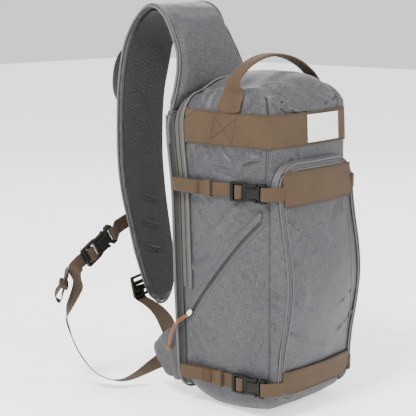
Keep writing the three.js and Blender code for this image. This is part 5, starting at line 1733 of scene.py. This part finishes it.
@dataclass
class Straps:
    """All the flat webbing, with its layers and stitches."""

    palette: Palette
    studio: Studio
    stitching: Beads
    box: tuple[tuple[Spot, Spot], ...] = (
        ((213.8, 116.0), (210.6, 139.5)), ((236.0, 118.5), (231.8, 143.0)),
        ((214.6, 117.0), (231.0, 142.5)), ((235.0, 119.5), (211.5, 138.5)),
    )
    edge: float = 3.0 * MM
    wide: float = 30 * MM
    doubled: float = 46 * MM
    fold_end: float = 8 * MM
    fold_at: float = 24 * MM
    fold_half: float = 9 * MM
    keeper_half: float = 4.6 * MM

    def build(self) -> None:
        """Builds every strap from its node's run."""
        for node in ("upper_front_panel", "lower_front_panel"):
            self.plain(node)
        self.band()
        self.plain("strap_loop")
        # the low webbing and stabilizer straps take the darker copy of the webbing: painted shade
        for node in ("lower_webbing", "stabilizer_stub", "stabilizer_webbing", "stabilizer_tail"):
            self.plain(node, self.palette.painted_shade_web)
        for owner in ("left_upper", "left_lower", "right_upper", "right_lower"):
            self.side_strap(owner)
        # its keeper takes the same painted-shade webbing
        self.keeper("stabilizer_keeper", self.palette.painted_shade_web)
        self.handle()

    def plain(self, node: str, material: bpy.types.Material | None = None) -> None:
        """One strap from its node's run, with a row of stitches along a wide one's edges.

        Args:
            node: the node.
            material: what it is woven of, the slot's own material when left out.
        """
        run = Ribbon(node)
        slot = Finish.PIPING if node == "strap_loop" else Finish.WEBBING
        self.palette.dress(run.cloth(f"{node}_web"), slot, node, material=material)
        if run.width > self.wide:
            inset = 1 - 2 * self.edge / run.width
            self.sew(f"{node}_stitches", [run.line(0.0, run.length, side * inset) for side in (-1.0, 1.0)])

    def sew(self, name: str, rows: Iterable[Trace]) -> None:
        """Sews these rows in dark thread."""
        self.palette.dress(self.stitching.laid(name, rows), Finish.WEBBING, material=self.palette.thread)

    def band(self) -> None:
        """The band round the top, with a crossed box of stitches below each foot of the handle."""
        self.plain("top_band")
        surface = Surface(bpy.data.objects["top_band_web"], self.studio)
        rows = [surface.seen(spots) for spots in self.box]
        self.sew("band_box_stitches", rows + [surface.mirrored(row) for row in rows])

    def side_strap(self, owner: str) -> None:
        """A side strap: its web, the doubled layers over it, its keeper and the short strap.

        Args:
            owner: which of the four, as in its nodes' names.
        """
        dress = self.palette.dress
        run = Ribbon(f"{owner}_strap")
        dress(run.cloth(f"{owner}_strap_web"), Finish.WEBBING, f"{owner}_strap")
        keeper, plug = self.place_on(run, f"{owner}_keeper"), self.place_on(run, f"{owner}_buckle_plug")
        away = 1.0 if plug < keeper else -1.0
        start, stop = sorted((keeper - away * 5 * MM, keeper + away * self.doubled))
        start, stop = max(start, self.fold_end), min(stop, run.length - self.fold_end)
        dress(run.cloth(f"{owner}_strap_tail", start=start, end=stop, lift=1.15), Finish.WEBBING)
        over = keeper + away * self.fold_at
        start, stop = over - self.fold_half, over + self.fold_half
        patch = run.cloth(f"{owner}_strap_fold", start=start, end=stop, lift=2.3)
        # the folded layer takes the darker copy of the webbing, its shade painted
        dress(patch, Finish.WEBBING, material=self.palette.tan_web)
        # painted shadow: a near-black cord across the strap at each edge of the keeper, where the strap sinks
        # into shade under it
        for index, place in enumerate((keeper - self.keeper_half, keeper + self.keeper_half)):
            edge = self.across(run, place, place)[0].spaced(CORD_STEP).beside(0, 1.6 * run.thick).places
            line = Tube(f"{owner}_keeper_shadow_{index + 1}", edge, 0.8 * MM, 6).make()
            dress(line, Finish.WEBBING, material=self.palette.shadow)
        rows = [row.beside(0, 2.4 * run.thick) for row in self.across(run, start, stop)]
        self.sew(f"{owner}_strap_stitches", rows)
        short = f"{owner}_short_strap"
        dress(Ribbon(short).cloth(f"{short}_web"), Finish.WEBBING, short)
        self.keeper(f"{owner}_keeper")

    def across(self, run: Ribbon, start: float, stop: float) -> list[Trace]:
        """Two short rows of stitches across a strap, just inside these ends.

        Args:
            run: the strap.
            start: metres along it to one end.
            stop: metres along it to the other.

        Returns:
            Both rows.
        """
        sides = np.linspace(-0.84, 0.84, 9)
        ends = (start + 2 * MM, stop - 2 * MM)
        return [Trace(run.at(place, sides, 0.0), run.out(place, sides)) for place in ends]

    def place_on(self, run: Ribbon, node: str) -> float:
        """How far along a strap a node's middle lies."""
        low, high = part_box(node)
        return run.where((low + high) / 2)

    def keeper(self, node: str, material: bpy.types.Material | None = None) -> None:
        """A keeper: a narrow ring of webbing with soft edges."""
        piece = bevelled(node, f"{node}_web", 0.6 * MM, 50)
        self.palette.dress(piece, Finish.WEBBING, node, material=material)

    def handle(self) -> None:
        """The haul handle: wide feet that fold into a grip."""
        piece = copy_of("haul_handle", "haul_handle_web")
        smooth_through(piece, 2, 1.5 * MM)
        rings = node_rings("haul_handle")
        side = rings[:, 0] - rings[:, rings.shape[1] // 2 - 1]
        by_point_uv(piece, along_and_across(points(piece), rings.mean(1), side))
        soften(piece, 12 * MM, 0.3 * MM, 3.0)
        smooth(piece)
        self.palette.dress(piece, Finish.WEBBING, "haul_handle")


@dataclass
class ShoulderStrap:
    """The padded strap with its spacer-mesh lining, its pipings and the wing at its foot."""

    palette: Palette
    studio: Studio
    roll: float = 5.0 * MM
    seam_radius: float = 0.75 * MM
    edge_radius: float = 1.3 * MM
    piping_radius: float = 2.4 * MM
    slot_radius: float = 2.6 * MM
    pad_swell: float = 3 * MM
    wing_swell: float = 4 * MM
    drops: tuple[float, ...] = (0.022, 0.034, 0.048)
    slots: tuple[tuple[Spot, Spot], ...] = (
        ((143.5, 195.5), (155.0, 199.0)), ((144.5, 221.5), (157.0, 225.0)), ((146.0, 245.5), (160.0, 249.0)),
    )

    def build(self) -> None:
        """Builds the strap's pieces."""
        pad = copy_of("sling_strap", "strap_pad")
        smooth_through(pad, 2)
        puffed(pad, self.pad_swell, "strap_lining", "strap_piping", "body_shell")
        run = Ribbon("sling_strap", (0.0, 0.0, -0.25))
        by_point_uv(pad, run.coordinates(points(pad)))
        soften(pad, 16 * MM, 0.9 * MM, 2.0, (1.0, 1.0, 0.8))
        smooth(pad)
        self.palette.dress(pad, Finish.CLOTH, "sling_strap")
        self.edges(run, Surface(pad, self.studio))
        self.root(run)
        self.lining()
        piping = rounded_copy("strap_piping", "strap_edge_piping", 2)
        self.palette.dress(piping, Finish.PIPING, "strap_piping")
        wing = copy_of("wing", "wing_pad")
        smooth_through(wing, 2)
        puffed(wing, self.wing_swell, "body_shell", "lower_webbing", voxel=4 * MM)
        panel_uv(wing)
        soften(wing, 13 * MM, 3.6 * MM, 9.0, (1.0, 1.6, 0.35))
        smooth(wing)
        self.palette.dress(wing, Finish.CLOTH, "wing")

    def edges(self, run: Ribbon, pad: Surface) -> None:
        """Two seams beside each edge of the pad, as near-black cords of painted shadow, and a cord along each
        edge.

        Args:
            run: the strap's run.
            pad: the finished pad.
        """
        # painted shadow: the shade sunk along each stitched seam, as a near-black cord
        for index, side in enumerate((-0.82, -0.89, 0.82, 0.89)):
            row = pad.laid(run.line(6 * MM, run.length - 6 * MM, side)).spaced(CORD_STEP).places
            seam = Tube(f"strap_seam_{index + 1}", row, self.seam_radius, 6).make()
            self.palette.dress(seam, Finish.CLOTH, material=self.palette.shadow)
        for index, side in enumerate((-0.98, 0.98)):
            rim = pad.laid(run.line(5 * MM, run.length - 5 * MM, side)).spaced(CORD_STEP).places
            cord = Tube(f"strap_edge_cord_{index + 1}", rim, self.edge_radius, 8).make()
            self.palette.dress(cord, Finish.PIPING)

    def root(self, run: Ribbon) -> None:
        """The roll of cloth where the strap is sewn to the back, and the pipings that run into it.

        Args:
            run: the strap's run.
        """
        low_end, high_end = (run.at(place, 0.0, 0.5)[0][2] for place in (0.0, run.length))
        root, inner = (0.0, 6 * MM) if low_end > high_end else (run.length, run.length - 6 * MM)
        roll = run.at(root, np.linspace(-0.97, 0.97, 30), 0.5) + np.array([0.0, 0.0, -self.roll * 0.5])
        self.palette.dress(Tube("strap_root_roll", roll, self.roll, 14).make(), Finish.CLOTH)
        tree = node_tree("back_piping")
        for index, side in enumerate((-0.98, 0.98)):
            first, foot = run.at(inner, side, 0.4)[0], run.at(root, side, 0.5)[0]
            knots = [first, foot]
            knots += [tree.find_nearest(Vector(foot) - Vector((0.0, 0.0, drop)))[0][:] for drop in self.drops]
            path = curve(np.array(knots), 24)
            cord = Tube(f"strap_root_piping_{index + 1}", path, self.piping_radius, 10).make()
            self.palette.dress(cord, Finish.PIPING)

    def lining(self) -> None:
        """The spacer mesh on the wearer's face, with its slots: a lip of mesh and a near-black cord of
        painted shadow in each.
        """
        run = Ribbon("strap_lining", (0.0, 0.5, -0.25))
        piece = copy_of("strap_lining", "strap_mesh")
        smooth_through(piece, 3)
        by_point_uv(piece, run.coordinates(points(piece)))
        smooth(piece)
        self.palette.dress(piece, Finish.MESH, "strap_lining")
        surface = Surface(piece, self.studio)
        for index, spots in enumerate(self.slots):
            line = surface.seen(spots).spaced(CORD_STEP)
            # each slot's shade is painted as a near-black cord beside its lip
            lip, gap = line.beside(-2.2 * MM, -0.6 * MM).places, line.beside(1.2 * MM).places
            for name, path, sides, material in (("lip", lip, 10, None), ("gap", gap, 8, self.palette.shadow)):
                tube = Tube(f"strap_slot_{index + 1}_{name}", path, self.slot_radius, sides).make()
                self.palette.dress(tube, Finish.MESH, material=material)


@dataclass
class Hardware:
    """Buckles, the ladder lock, the slider and the label."""

    palette: Palette

    def build(self) -> None:
        """Builds the moulded and metal pieces."""
        owners = ["left_upper", "left_lower", "right_upper", "right_lower", "stabilizer"]
        halves = [f"{owner}_buckle_{half}" for owner in owners for half in ("socket", "plug")]
        for node in ["ladder_lock"] + halves:
            self.moulded(node, Finish.BUCKLE, 0.7 * MM)
        self.moulded("zip_slider", Finish.SLIDER, 0.4 * MM)
        self.moulded("label_patch", Finish.LABEL, 0.3 * MM)

    def moulded(self, node: str, finish: Finish, radius: float) -> None:
        """A copy of a rigid node with rounded edges."""
        self.palette.dress(bevelled(node, f"{node}_dressed", radius, 35), finish, node)


def main() -> None:
    """Builds the scene in order."""
    logging.basicConfig(level=logging.INFO, format="%(name)s %(message)s")
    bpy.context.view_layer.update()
    studio = Studio()
    studio.camera()
    palette = Palette()
    stitching = Beads()
    for part in (ZipPull(palette), BagBody(palette, studio, stitching), Straps(palette, studio, stitching),
                 ShoulderStrap(palette, studio), Hardware(palette)):
        LOG.info("building %s", type(part).__name__)
        part.build()
    studio.floor()
    studio.lights()


if __name__ == "__main__":
    main()
